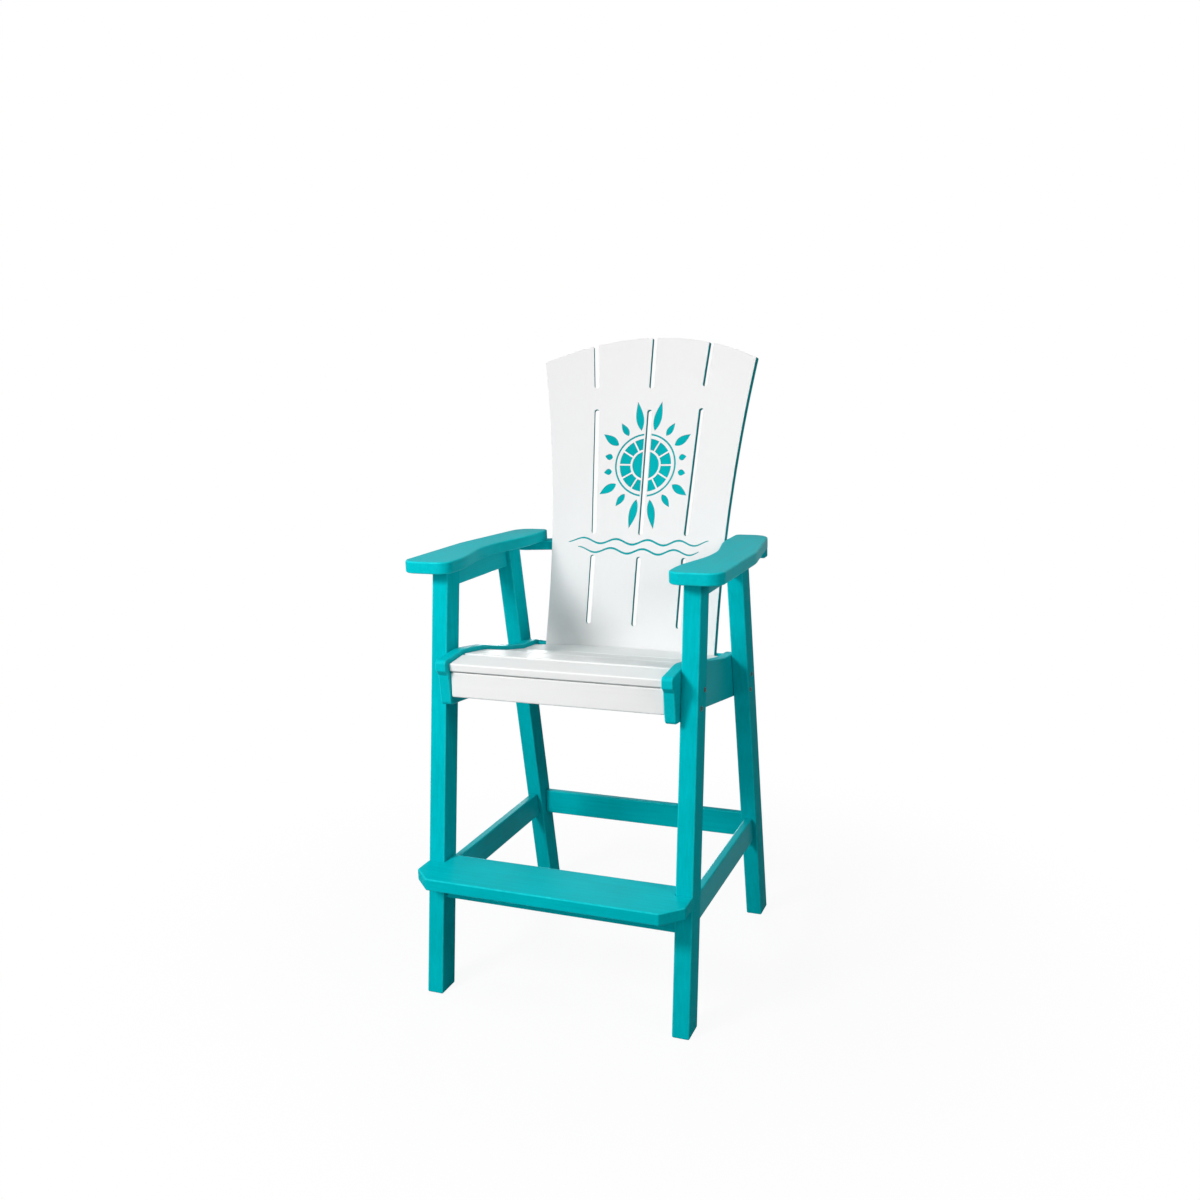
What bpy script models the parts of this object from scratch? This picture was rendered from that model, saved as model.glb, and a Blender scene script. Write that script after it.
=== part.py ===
"""Tall fan-back armchair of coloured plastic boards.

Raked legs carry two contoured seat rails, a slatted seat, paddle arms and a curved back
panel with a light face. Stretchers tie the legs together and a footrest runs across the
front pair. The chair faces -Y; left and right are as seen from the front.
"""
import math

import bmesh
import bpy
from mathutils import Matrix, Vector

# Fits, metres
CLEAR = 0.0003            # between pieces that touch
BOARD_ROUND = 0.0035      # rounded edges of the boards
TENON = 0.012             # stub tenons at the ends of the rails
SHOULDER = 0.008          # above and below a tenon
CHEEK = 0.003             # beside a tenon

# Legs
LEG_SPREAD = 0.642        # outer face to outer face
LEG_WIDTH = 0.040
LEG_DEPTH = 0.060
FRONT_RAKE = 7.4          # degrees, back going up
REAR_RAKE = 10.6          # degrees, forward going up
FOOT_RUN = 0.634          # between the front faces at the floor

# Seat: the slats follow one line from the front edge to the back panel
SEAT_HEIGHT = 0.783       # top of the front slat's front edge
SEAT_OVERHANG = 0.039     # front slat ahead of the front legs
SLAT_PITCH = (0.0735, 0.107, 0.108, 0.107)
SLAT_TILT = (5.5, -7.8, -14.2, -11.0, -4.2)   # degrees, one more for the rear slat
REAR_SLAT_RUN = 0.1112    # rear slat's front edge to the back panel, at the middle
SLAT_THICK = 0.019
SLAT_GAP = 0.003
CLEAT_HEIGHT = 0.030
CLEAT_THICK = 0.019

# Seat rails
RAIL_THICK = 0.026
RAIL_PROUD = 0.0105       # above the slats
RAIL_DEPTH_FRONT = 0.0975
RAIL_DEPTH_MID = 0.1065
RAIL_DEPTH_REAR = 0.095
RAIL_TAIL = 0.125         # behind the crest, past the rear legs
NOSE_REACH = 0.016        # ahead of the front slat
NOSE_HEIGHT = 0.0245
LIP_STEP = 0.0112         # set-back under the nose
FRONT_SLOPE = 0.0075      # further set-back down to the lower front corner

# Apron under the front slat
APRON_HEIGHT = 0.058
APRON_THICK = 0.019
APRON_SET_BACK = 0.006
APRON_GAP = 0.0025

# Back panel, heights along its slope from the seat
PANEL_LEAN = 16.3         # degrees from upright
PANEL_RADIUS = 0.900      # hollow of the front face
PANEL_THICK = 0.0127
PANEL_FOOT = 0.045        # below the seat
PANEL_WAIST = 0.058       # where the sides start to flare
PANEL_SHOULDER = 0.738
PANEL_CROWN = 0.072       # rise of the arched top
PANEL_WAIST_WIDTH = 0.455
PANEL_TOP_WIDTH = 0.572
PANEL_STRIPS = 24
SLOT_WIDTH = 0.0127
SLOT_START = 0.055
SLOT_LOW = 0.1795
SLOT_MID = 0.3285
SLOT_BRIDGE = 0.0565      # solid bands between the rows of slots
SLOT_SPREAD = 0.535       # side slots, as a share of the half width

# Arms
ARM_TOP = 1.010
ARM_THICK = 0.028
ARM_OVERHANG = 0.048      # ahead of the front legs
ARM_REACH = 0.056         # outside the legs
ARM_WIDTH = 0.121
ARM_WAIST = 0.028         # drawn in on the inner side
ARM_FRONT_ROUND = 0.036
ARM_REAR_ROUND = 0.046
ARM_CURVE = 0.30          # into and out of the waist
ARM_TAPER = 0.0365        # outer side, towards the rear end
ARM_EDGE = 0.005
ARM_RAIL_HEIGHT = 0.0425

# Rails behind the panel
BACK_RAIL_THICK = 0.0235
BACK_RAIL_DEPTH = 0.050   # behind the panel, at the middle
BACK_RAIL_HORN = 0.054    # ends reach ahead of the middle
BACK_RAIL_LAP = 0.044     # under the arms
BACK_RAIL_END = 0.019     # outside the legs

# Stretchers and footrest
STRETCHER_TOP = 0.287
STRETCHER_HEIGHT = 0.0635
STRETCHER_THICK = 0.019
REAR_STRETCHER_INSET = 0.026
FRONT_STRETCHER_INSET = 0.010
FOOTREST_TOP = 0.3135
FOOTREST_THICK = 0.028
FOOTREST_REACH = 0.0977   # ahead of the front legs
FOOTREST_DEPTH = 0.144
FOOTREST_CORNER = 0.045

# Screws
HEAD_RADIUS = 0.0055
HEAD_HEIGHT = 0.003
HEAD_CLEAR = 0.0007
SHANK_RADIUS = 0.0022
SCREW_SIDES = 10
SCREW_BITE = 0.012        # into the last board
LEG_SCREW_DEPTH = 0.0615  # below the seat line
LEG_SCREW_RISE = 0.035
LEG_SCREW_STAGGER = 0.0105
LEG_SCREW_SHIFT = 0.007
LEG_SCREW_PROUD = 0.0018  # head, out of the leg
FACE_SCREW_RECESS = 0.0015
EDGE_SCREW_RECESS = 0.012

# Finishes: colour, roughness, metallic
TEAL = ((0.0, 0.42, 0.44, 1.0), 0.45, 0.0)
WHITE = ((0.86, 0.86, 0.85, 1.0), 0.45, 0.0)
STEEL = ((0.52, 0.51, 0.49, 1.0), 0.35, 1.0)

# Lines that several boards share, in the leg frame: Y from the front legs' foot
FRONT_TAN = math.tan(math.radians(FRONT_RAKE))
REAR_TAN = math.tan(math.radians(REAR_RAKE))
FRONT_LEG_RUN = LEG_DEPTH / math.cos(math.radians(FRONT_RAKE))
REAR_LEG_RUN = LEG_DEPTH / math.cos(math.radians(REAR_RAKE))
ARM_BOTTOM = ARM_TOP - ARM_THICK
STRETCHER_LOW = STRETCHER_TOP - STRETCHER_HEIGHT
FRONT_STRETCHER_HEIGHT = FOOTREST_TOP - FOOTREST_THICK - CLEAR - STRETCHER_LOW
FRONT_STRETCHER_MID = STRETCHER_LOW + FRONT_STRETCHER_HEIGHT / 2
LEG_INNER = LEG_SPREAD / 2 - LEG_WIDTH
LEG_CENTRE = LEG_SPREAD / 2 - LEG_WIDTH / 2
RAIL_OUTER = LEG_INNER - CLEAR
RAIL_INNER = RAIL_OUTER - RAIL_THICK
CLEAT_OUTER = RAIL_INNER - CLEAR
CLEAT_INNER = CLEAT_OUTER - CLEAT_THICK
SEAT_HALF = RAIL_INNER - CLEAR
SIDES = (("left", -1), ("right", 1))


def front_leg_front(z):
    """Y of the front legs' front face at height z."""
    return z * FRONT_TAN


def front_leg_rear(z):
    """Y of the front legs' rear face at height z."""
    return z * FRONT_TAN + FRONT_LEG_RUN


def rear_leg_front(z):
    """Y of the rear legs' front face at height z."""
    return FOOT_RUN - z * REAR_TAN


def front_stretcher_y():
    """Y of the front stretcher's middle, set back from the front legs."""
    return front_leg_front(FRONT_STRETCHER_MID) + FRONT_STRETCHER_INSET + STRETCHER_THICK / 2


def seat_knots():
    """Points (y, z) where the tops of the slats meet, front edge first, back panel last."""
    point = Vector((front_leg_front(SEAT_HEIGHT) - SEAT_OVERHANG, SEAT_HEIGHT))
    knots = [point]
    for run, tilt in zip(SLAT_PITCH + (REAR_SLAT_RUN,), SLAT_TILT):
        turn = math.radians(tilt)
        point = point + Vector((math.cos(turn), math.sin(turn))) * run
        knots.append(point)
    return knots


KNOTS = seat_knots()
LEAN = math.radians(PANEL_LEAN)
PANEL_FRAME = (Matrix.Translation((0, KNOTS[-1].x, KNOTS[-1].y))
               @ Matrix.Rotation(math.pi / 2 - LEAN, 4, "X"))
SQUARE_TO_PANEL = Vector((math.cos(LEAN), -math.sin(LEAN)))
PANEL_TOP = PANEL_SHOULDER + PANEL_CROWN
FRONT_END = front_leg_front(FOOTREST_TOP) - FOOTREST_REACH
REAR_END = KNOTS[-1].x + PANEL_TOP * math.sin(LEAN) + PANEL_THICK * math.cos(LEAN)
Y_MID = (FRONT_END + REAR_END) / 2


def seat_height_at(y):
    """Height of the seat line at y."""
    for near, far in zip(KNOTS, KNOTS[1:]):
        if y <= far.x:
            break
    return near.y + (far.y - near.y) * (y - near.x) / (far.x - near.x)


def slat_normal(index):
    """Upward unit normal (y, z) of one slat."""
    turn = math.radians(SLAT_TILT[index])
    return Vector((-math.sin(turn), math.cos(turn)))


def slat_width(index):
    """Width of one slat, less the gap behind it, which is kept down to the undersides."""
    if index == len(SLAT_PITCH):
        return REAR_SLAT_RUN
    fold = math.radians(max(0.0, SLAT_TILT[index] - SLAT_TILT[index + 1]))
    return SLAT_PITCH[index] - SLAT_GAP - SLAT_THICK * math.tan(fold)


def meet(point_a, along_a, point_b, along_b):
    """Crossing point of two lines in a plane."""
    cross = along_a.x * along_b.y - along_a.y * along_b.x
    gap = point_b - point_a
    return point_a + along_a * ((gap.x * along_b.y - gap.y * along_b.x) / cross)


def seat_line_below(drop, rail_drop):
    """Seat line moved square to the slats by drop, ending along the lower back rail.

    Returns its start and the corner points (y, z) between its stretches.
    """
    lines = []
    for knot, index in zip(KNOTS, range(len(SLAT_TILT))):
        normal = slat_normal(index)
        along = Vector((normal.y, -normal.x))
        lines.append((knot - normal * drop, along))
    foot = KNOTS[-1] - Vector((math.sin(LEAN), math.cos(LEAN))) * rail_drop
    lines.append((foot, SQUARE_TO_PANEL))
    corners = [meet(*a, *b) for a, b in zip(lines, lines[1:])]
    return [lines[0][0]] + corners


def arc(centre, radius, start, end, count):
    """Points of an arc, angles in radians."""
    steps = [start + (end - start) * k / count for k in range(count + 1)]
    return [(centre[0] + radius * math.cos(a), centre[1] + radius * math.sin(a)) for a in steps]


def rounded(corners, step=18.0):
    """Outline through corners (x, y, radius), each corner rounded by an arc."""
    outline = []
    for index, (x, y, radius) in enumerate(corners):
        here = Vector((x, y))
        before = (Vector(corners[index - 1][:2]) - here).normalized()
        after = (Vector(corners[(index + 1) % len(corners)][:2]) - here).normalized()
        if radius == 0:
            outline.append((x, y))
            continue
        half = before.angle(after) / 2
        centre = here + (before + after).normalized() * radius / math.sin(half)
        first = here + before * radius / math.tan(half) - centre
        last = here + after * radius / math.tan(half) - centre
        start = math.atan2(first.y, first.x)
        sweep = (math.atan2(last.y, last.x) - start + math.pi) % (2 * math.pi) - math.pi
        count = max(1, math.ceil(abs(math.degrees(sweep)) / step))
        outline += arc(centre, radius, start, start + sweep, count)
    return outline


def weld(mesh):
    """Join the seams of a mesh and merge its flat faces."""
    bm = bmesh.new()
    bm.from_mesh(mesh)
    bmesh.ops.remove_doubles(bm, verts=bm.verts, dist=1e-6)
    bmesh.ops.dissolve_limit(bm, angle_limit=math.radians(0.2), verts=bm.verts, edges=bm.edges)
    bmesh.ops.recalc_face_normals(bm, faces=bm.faces)
    bm.to_mesh(mesh)
    bm.free()
    mesh.shade_smooth()
    mesh.set_sharp_from_angle(angle=math.radians(25))


def plate_mesh(name, outlines, thickness):
    """Flat plate from closed outlines in its XY plane, centred on its thickness."""
    curve = bpy.data.curves.new(name, "CURVE")
    curve.dimensions = "2D"
    curve.fill_mode = "BOTH"
    curve.extrude = thickness / 2
    for outline in outlines:
        spline = curve.splines.new("POLY")
        spline.points.add(len(outline) - 1)
        for point, (x, y) in zip(spline.points, outline):
            point.co = (x, y, 0, 1)
        spline.use_cyclic_u = True
    carrier = bpy.data.objects.new(name, curve)
    bpy.context.scene.collection.objects.link(carrier)
    depsgraph = bpy.context.evaluated_depsgraph_get()
    mesh = bpy.data.meshes.new_from_object(carrier.evaluated_get(depsgraph))
    bpy.data.objects.remove(carrier)
    bpy.data.curves.remove(curve)
    weld(mesh)
    return mesh


def box_mesh(name, size):
    """Box centred on the origin."""
    mesh = bpy.data.meshes.new(name)
    bm = bmesh.new()
    bmesh.ops.create_cube(bm, size=1.0)
    bmesh.ops.scale(bm, vec=size, verts=bm.verts)
    bm.to_mesh(mesh)
    bm.free()
    return mesh


def leg_mesh(name, width, run, height, rake_tan):
    """Upright box sheared along Y, with its foot's front edge at y = 0."""
    mesh = box_mesh(name, (width, run, height))
    mesh.transform(Matrix.Translation((0, run / 2, height / 2)))
    shear = Matrix.Identity(4)
    shear[1][2] = rake_tan
    mesh.transform(shear)
    return mesh


def profile_mesh(name, profile):
    """Chain of edges (radius, z) to be turned about Z."""
    mesh = bpy.data.meshes.new(name)
    verts = [(r, 0, z) for r, z in profile]
    mesh.from_pydata(verts, [(k, k + 1) for k in range(len(verts) - 1)], [])
    return mesh


def across(x):
    """Frame of a plate that stands in the YZ plane at x."""
    return Matrix.Translation((x, 0, 0)) @ Matrix(((0, 0, 1, 0), (1, 0, 0, 0),
                                                   (0, 1, 0, 0), (0, 0, 0, 1)))


for old in list(bpy.data.objects):
    bpy.data.objects.remove(old)

CHAIR = bpy.data.collections.new("counter_chair")
CUTTERS = bpy.data.collections.new("cutters")
bpy.context.scene.collection.children.link(CHAIR)
bpy.context.scene.collection.children.link(CUTTERS)
ROOT = bpy.data.objects.new("counter_chair_root", None)
ROOT.location = (0, -Y_MID, 0)
CHAIR.objects.link(ROOT)


def piece(name, mesh, frame, finish):
    """One visible piece with its own material."""
    material = bpy.data.materials.new(name)
    material.use_nodes = True
    shader = material.node_tree.nodes["Principled BSDF"]
    shader.inputs["Base Color"].default_value = finish[0]
    shader.inputs["Roughness"].default_value = finish[1]
    shader.inputs["Metallic"].default_value = finish[2]
    mesh.materials.clear()
    mesh.materials.append(material)
    obj = bpy.data.objects.new(name, mesh)
    obj.parent = ROOT
    obj.matrix_basis = frame
    CHAIR.objects.link(obj)
    return obj


def cutter(name, mesh, frame):
    """Helper solid for cutting and joining."""
    obj = bpy.data.objects.new(name, mesh)
    obj.parent = ROOT
    obj.matrix_basis = frame
    obj.hide_render = True
    obj.display_type = "WIRE"
    CUTTERS.objects.link(obj)
    return obj


def soften(obj, width=BOARD_ROUND):
    """Rounded edges on a board."""
    bevel = obj.modifiers.new("rounded_edges", "BEVEL")
    bevel.width = width
    bevel.segments = 2
    bevel.limit_method = "ANGLE"


def combine(obj, tool, operation="DIFFERENCE"):
    """Cut a piece with a tool, or join or trim it to one."""
    boolean = obj.modifiers.new(tool.name, "BOOLEAN")
    boolean.operation = operation
    boolean.solver = "EXACT"
    boolean.object = tool


def turn(obj, sides):
    """Turn a profile about its Z axis."""
    screw = obj.modifiers.new("turned", "SCREW")
    screw.axis = "Z"
    screw.steps = sides
    screw.render_steps = sides
    screw.use_merge_vertices = True
    screw.merge_threshold = 1e-5
    screw.use_smooth_shade = True


def leg_tool(name, side, margin, rear):
    """Front leg grown by margin, open to the outside and the rear, for notching a board."""
    outside = LEG_WIDTH + 2 * margin + rear
    mesh = leg_mesh(name, outside, FRONT_LEG_RUN + margin + rear, ARM_BOTTOM, FRONT_TAN)
    x = side * (LEG_INNER - margin + outside / 2)
    return cutter(name, mesh, Matrix.Translation((x, -margin, 0)))


def build_legs():
    """Four raked legs, flat at the floor and under the arms."""
    height = ARM_BOTTOM - CLEAR
    legs = {}
    for side, sign in SIDES:
        x = sign * LEG_CENTRE
        name = "front_leg_" + side
        mesh = leg_mesh(name, LEG_WIDTH, FRONT_LEG_RUN, height, FRONT_TAN)
        legs[name] = piece(name, mesh, Matrix.Translation((x, 0, 0)), TEAL)
        name = "rear_leg_" + side
        mesh = leg_mesh(name, LEG_WIDTH, REAR_LEG_RUN, height, -REAR_TAN)
        legs[name] = piece(name, mesh, Matrix.Translation((x, FOOT_RUN, 0)), TEAL)
    for leg in legs.values():
        soften(leg)
    return legs


def side_rail(name, sign, bottom, top, legs):
    """Rail between a front leg and a rear leg, with stub tenons into both."""
    def span(low, high, reach):
        return [(front_leg_rear(low) + CLEAR - reach, low), (rear_leg_front(low) - CLEAR + reach, low),
                (rear_leg_front(high) - CLEAR + reach, high), (front_leg_rear(high) + CLEAR - reach, high)]

    frame = across(sign * LEG_CENTRE)
    rail = piece(name, plate_mesh(name, [span(bottom, top, 0)], STRETCHER_THICK), frame, TEAL)
    soften(rail)
    low, high = bottom + SHOULDER, top - SHOULDER
    tongue = STRETCHER_THICK - 2 * CHEEK
    tenon = plate_mesh(name, [span(low, high, TENON)], tongue)
    combine(rail, cutter(name + "_tenon", tenon, frame), "UNION")
    pocket = plate_mesh(name, [span(low - CLEAR, high + CLEAR, TENON + CLEAR)], tongue + 2 * CLEAR)
    pocket_tool = cutter(name + "_mortise", pocket, frame)
    for leg in legs:
        combine(leg, pocket_tool)
    return rail


def cross_rail(name, half, y, z, thick, height, holders, finish=TEAL):
    """Rail between left and right boards whose inner faces are at half, with stub tenons."""
    frame = Matrix.Translation((0, y, z))
    length = 2 * (half - CLEAR)
    rail = piece(name, box_mesh(name, (length, thick, height)), frame, finish)
    soften(rail)
    tongue = (length + 2 * TENON, thick - 2 * CHEEK, height - 2 * SHOULDER)
    combine(rail, cutter(name + "_tenon", box_mesh(name, tongue), frame), "UNION")
    pocket = [value + 2 * CLEAR for value in tongue]
    pocket_tool = cutter(name + "_mortise", box_mesh(name, pocket), frame)
    for holder in holders:
        combine(holder, pocket_tool)
    return rail


def rail_outline():
    """Side view (y, z, radius) of a seat rail: nose, seat line, tail, belly and set-back front."""
    front = KNOTS[0]
    nose = front.x - NOSE_REACH
    nose_top = front.y + RAIL_PROUD - 0.001
    lip = nose + LIP_STEP
    proud = [knot + Vector((0, RAIL_PROUD)) for knot in KNOTS]
    crest = meet(proud[-2], Vector((slat_normal(4).y, -slat_normal(4).x)),
                 KNOTS[-1] + Vector((math.sin(LEAN), math.cos(LEAN))) * RAIL_PROUD / 2,
                 SQUARE_TO_PANEL)
    tail = crest + SQUARE_TO_PANEL * RAIL_TAIL
    heel = tail - Vector((math.sin(LEAN), math.cos(LEAN))) * RAIL_DEPTH_REAR
    belly = KNOTS[2] - Vector((0, RAIL_DEPTH_MID))
    return [
        (nose, nose_top, 0.010),
        (proud[1].x, proud[1].y, 0.10),
        (proud[2].x, proud[2].y, 0.25),
        (proud[3].x, proud[3].y, 0.40),
        (proud[4].x, proud[4].y, 0.25),
        (crest.x, crest.y, 0.10),
        (tail.x, tail.y, 0.014),
        (heel.x, heel.y, 0.014),
        (belly.x, belly.y, 0.50),
        (lip + FRONT_SLOPE, front.y - RAIL_DEPTH_FRONT, 0.010),
        (lip, nose_top - NOSE_HEIGHT - LIP_STEP, 0.004),
        (nose, nose_top - NOSE_HEIGHT, 0.005),
    ]


def build_seat():
    """Seat rails, cleats, slats and apron."""
    seat = {}
    outline = rounded(rail_outline())
    for side, sign in SIDES:
        name = "seat_rail_" + side
        mesh = plate_mesh(name, [outline], RAIL_THICK)
        seat[name] = piece(name, mesh, across(sign * (RAIL_OUTER - RAIL_THICK / 2)), TEAL)
        soften(seat[name])

    apron_y = KNOTS[0].x + APRON_SET_BACK
    cleat_front = apron_y + APRON_THICK + CLEAR
    rail_foot = BACK_RAIL_THICK + CLEAR
    upper = seat_line_below(SLAT_THICK + CLEAR, rail_foot)
    lower = seat_line_below(SLAT_THICK + CLEAR + CLEAT_HEIGHT, rail_foot + CLEAT_HEIGHT)
    rear = upper[-1] + SQUARE_TO_PANEL * (PANEL_THICK + BACK_RAIL_DEPTH)
    upright = Vector((0, 1))
    start = Vector((cleat_front, 0))
    upper[0] = meet(start, upright, upper[1], upper[1] - upper[0])
    lower[0] = meet(start, upright, lower[1], lower[1] - lower[0])
    rear_low = rear - Vector((math.sin(LEAN), math.cos(LEAN))) * CLEAT_HEIGHT
    corners = [tuple(p) for p in upper] + [tuple(rear), tuple(rear_low)]
    corners += [tuple(p) for p in reversed(lower)]
    for side, sign in SIDES:
        name = "seat_cleat_" + side
        mesh = plate_mesh(name, [corners], CLEAT_THICK)
        seat[name] = piece(name, mesh, across(sign * (CLEAT_OUTER - CLEAT_THICK / 2)), TEAL)

    for index, tilt in enumerate(SLAT_TILT):
        name = "seat_slat_%d" % (index + 1)
        knot, normal = KNOTS[index], slat_normal(index)
        along = Vector((normal.y, -normal.x))
        width = slat_width(index)
        middle = knot + along * width / 2 - normal * SLAT_THICK / 2
        frame = Matrix.Translation((0, middle.x, middle.y)) @ Matrix.Rotation(math.radians(tilt), 4, "X")
        mesh = box_mesh(name, (2 * SEAT_HALF, width, SLAT_THICK))
        seat[name] = piece(name, mesh, frame, WHITE)
        soften(seat[name])

    apron_top = KNOTS[0].y - SLAT_THICK - APRON_GAP
    seat["seat_apron"] = cross_rail(
        "seat_apron", RAIL_INNER, apron_y + APRON_THICK / 2, apron_top - APRON_HEIGHT / 2,
        APRON_THICK, APRON_HEIGHT, [seat["seat_rail_left"], seat["seat_rail_right"]], WHITE)
    return seat


def bent_slab(name, front, back, half_width, bottom, top):
    """Curved slab in the panel's frame, between two depths ahead of the panel's face."""
    swing = math.asin(half_width / PANEL_RADIUS)
    centre = (0, PANEL_RADIUS)
    start, end = -math.pi / 2 - swing, -math.pi / 2 + swing
    outline = arc(centre, PANEL_RADIUS - front, start, end, PANEL_STRIPS)
    outline += reversed(arc(centre, PANEL_RADIUS - back, start, end, PANEL_STRIPS))
    mesh = plate_mesh(name, [outline], top - bottom)
    mesh.transform(Matrix.Translation((0, (top + bottom) / 2, 0)) @ Matrix.Rotation(math.pi / 2, 4, "X"))
    mesh.shade_flat()
    return mesh


def panel_half_width(s):
    """Half the panel's width at height s: upright to the waist, then an arc outwards."""
    flare = (PANEL_TOP_WIDTH - PANEL_WAIST_WIDTH) / 2
    rise = PANEL_SHOULDER - PANEL_WAIST
    radius = (rise * rise + flare * flare) / (2 * flare)
    above = max(0.0, s - PANEL_WAIST)
    return PANEL_WAIST_WIDTH / 2 + radius - math.sqrt(radius * radius - above * above)


def panel_outline():
    """Front view (x, s) of the panel: straight foot, flared sides, arched top."""
    heights = [PANEL_WAIST + (PANEL_SHOULDER - PANEL_WAIST) * k / 8 for k in range(9)]
    right = [(PANEL_WAIST_WIDTH / 2, -PANEL_FOOT)] + [(panel_half_width(s), s) for s in heights]
    half = PANEL_TOP_WIDTH / 2
    radius = (half * half + PANEL_CROWN * PANEL_CROWN) / (2 * PANEL_CROWN)
    swing = math.asin(half / radius)
    crown = arc((0, PANEL_TOP - radius), radius, math.pi / 2 - swing, math.pi / 2 + swing, 24)
    left = [(-x, s) for x, s in reversed(right)]
    return right + crown[1:-1] + left


def slot_outline(share, start, end):
    """Round-ended slot between two heights, set out at a share of the half width."""
    low = Vector((share * panel_half_width(start), start))
    high = Vector((share * panel_half_width(end), end))
    lean = math.atan2(high.y - low.y, high.x - low.x)
    radius = SLOT_WIDTH / 2
    reach = (high - low).normalized() * radius
    return (arc(low + reach, radius, lean + math.pi / 2, lean + 3 * math.pi / 2, 6)
            + arc(high - reach, radius, lean - math.pi / 2, lean + math.pi / 2, 6))


def panel_back_at(z):
    """Y of the panel's rear face at height z, at the middle."""
    return KNOTS[-1].x + (z - KNOTS[-1].y) * math.tan(LEAN) + PANEL_THICK / math.cos(LEAN)


def build_back(seat):
    """Back panel with its slots, and the rails behind it."""
    margin = 0.02
    half = PANEL_TOP_WIDTH / 2 + margin
    low, high = -PANEL_FOOT - margin, PANEL_TOP + margin
    panel = piece("back_panel", bent_slab("back_panel", 0, -PANEL_THICK, half, low, high),
                  PANEL_FRAME, WHITE)
    outline = plate_mesh("back_panel_outline", [panel_outline()], 0.4)
    combine(panel, cutter("back_panel_outline", outline, PANEL_FRAME), "INTERSECT")
    middle_start = SLOT_START + SLOT_LOW + SLOT_BRIDGE
    top_start = middle_start + SLOT_MID + SLOT_BRIDGE
    rows = ((SLOT_START, SLOT_START + SLOT_LOW), (middle_start, middle_start + SLOT_MID),
            (top_start, high + margin))
    slots = [slot_outline(share, *row) for share in (-SLOT_SPREAD, 0, SLOT_SPREAD) for row in rows]
    combine(panel, cutter("back_panel_slots", plate_mesh("back_panel_slots", slots, 0.4), PANEL_FRAME))

    reach = LEG_SPREAD / 2 + BACK_RAIL_END
    ahead = bent_slab("ahead_of_panel", 0.1, -PANEL_THICK - CLEAR, reach, low, high)
    ahead_tool = cutter("ahead_of_panel", ahead, PANEL_FRAME)
    behind = bent_slab("behind_panel", SLAT_GAP, -0.1, reach, low, high)
    combine(seat["seat_slat_5"], cutter("behind_panel", behind, PANEL_FRAME))

    back = {"back_panel": panel}
    top = ARM_BOTTOM - CLEAR
    z = top - BACK_RAIL_THICK / 2
    panel_back = panel_back_at(z)
    half = LEG_SPREAD / 2 + BACK_RAIL_END
    bow = PANEL_RADIUS + PANEL_THICK + BACK_RAIL_DEPTH
    swing = math.asin(half / bow)
    centre = (0, panel_back + BACK_RAIL_DEPTH - bow)
    outline = arc(centre, bow, math.pi / 2 - swing, math.pi / 2 + swing, PANEL_STRIPS // 2)
    outline += [(-half, panel_back - BACK_RAIL_HORN), (half, panel_back - BACK_RAIL_HORN)]
    mesh = plate_mesh("back_rail_upper", [outline], BACK_RAIL_THICK)
    back["back_rail_upper"] = piece("back_rail_upper", mesh, Matrix.Translation((0, 0, z)), TEAL)
    depth = BACK_RAIL_DEPTH + PANEL_THICK + BACK_RAIL_HORN
    size = (2 * SEAT_HALF, BACK_RAIL_THICK, depth)
    place = (0, -BACK_RAIL_THICK / 2, BACK_RAIL_HORN - depth / 2)
    back["back_rail_lower"] = piece("back_rail_lower", box_mesh("back_rail_lower", size),
                                    PANEL_FRAME @ Matrix.Translation(place), TEAL)
    for name in ("back_rail_upper", "back_rail_lower"):
        soften(back[name])
        combine(back[name], ahead_tool)
    return back


def arm_outline(sign):
    """Top view of an arm: lobes at both ends, a waist inside, a taper and a round outside."""
    front = front_leg_front(ARM_BOTTOM) - ARM_OVERHANG
    rear = panel_back_at(ARM_BOTTOM - CLEAR - BACK_RAIL_THICK / 2) - BACK_RAIL_HORN + BACK_RAIL_LAP
    length = rear - front
    outer = LEG_SPREAD / 2 + ARM_REACH
    inner = outer - ARM_WIDTH
    waist = inner + ARM_WAIST
    corners = [
        (outer, front, ARM_FRONT_ROUND),
        (outer, front + 0.52 * length, ARM_CURVE),
        (outer - ARM_TAPER, rear, ARM_REAR_ROUND),
        (inner, rear, 0.014),
        (inner, front + 0.78 * length, ARM_CURVE),
        (waist, front + 0.53 * length, ARM_CURVE),
        (waist, front + 0.38 * length, ARM_CURVE),
        (inner, front + 0.16 * length, ARM_CURVE),
        (inner, front, 0.9 * ARM_FRONT_ROUND),
    ]
    return rounded([(sign * x, y, radius) for x, y, radius in corners], 7.0)


def build_arms(legs):
    """Arms on the leg tops, and the rails under them."""
    arms = {}
    for side, sign in SIDES:
        name = "arm_" + side
        mesh = plate_mesh(name, [arm_outline(sign)], ARM_THICK)
        arms[name] = piece(name, mesh, Matrix.Translation((0, 0, ARM_TOP - ARM_THICK / 2)), TEAL)
        soften(arms[name], ARM_EDGE)
        name = "arm_rail_" + side
        top = ARM_BOTTOM - CLEAR
        arms[name] = side_rail(name, sign, top - ARM_RAIL_HEIGHT, top,
                               [legs["front_leg_" + side], legs["rear_leg_" + side]])
    return arms


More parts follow.
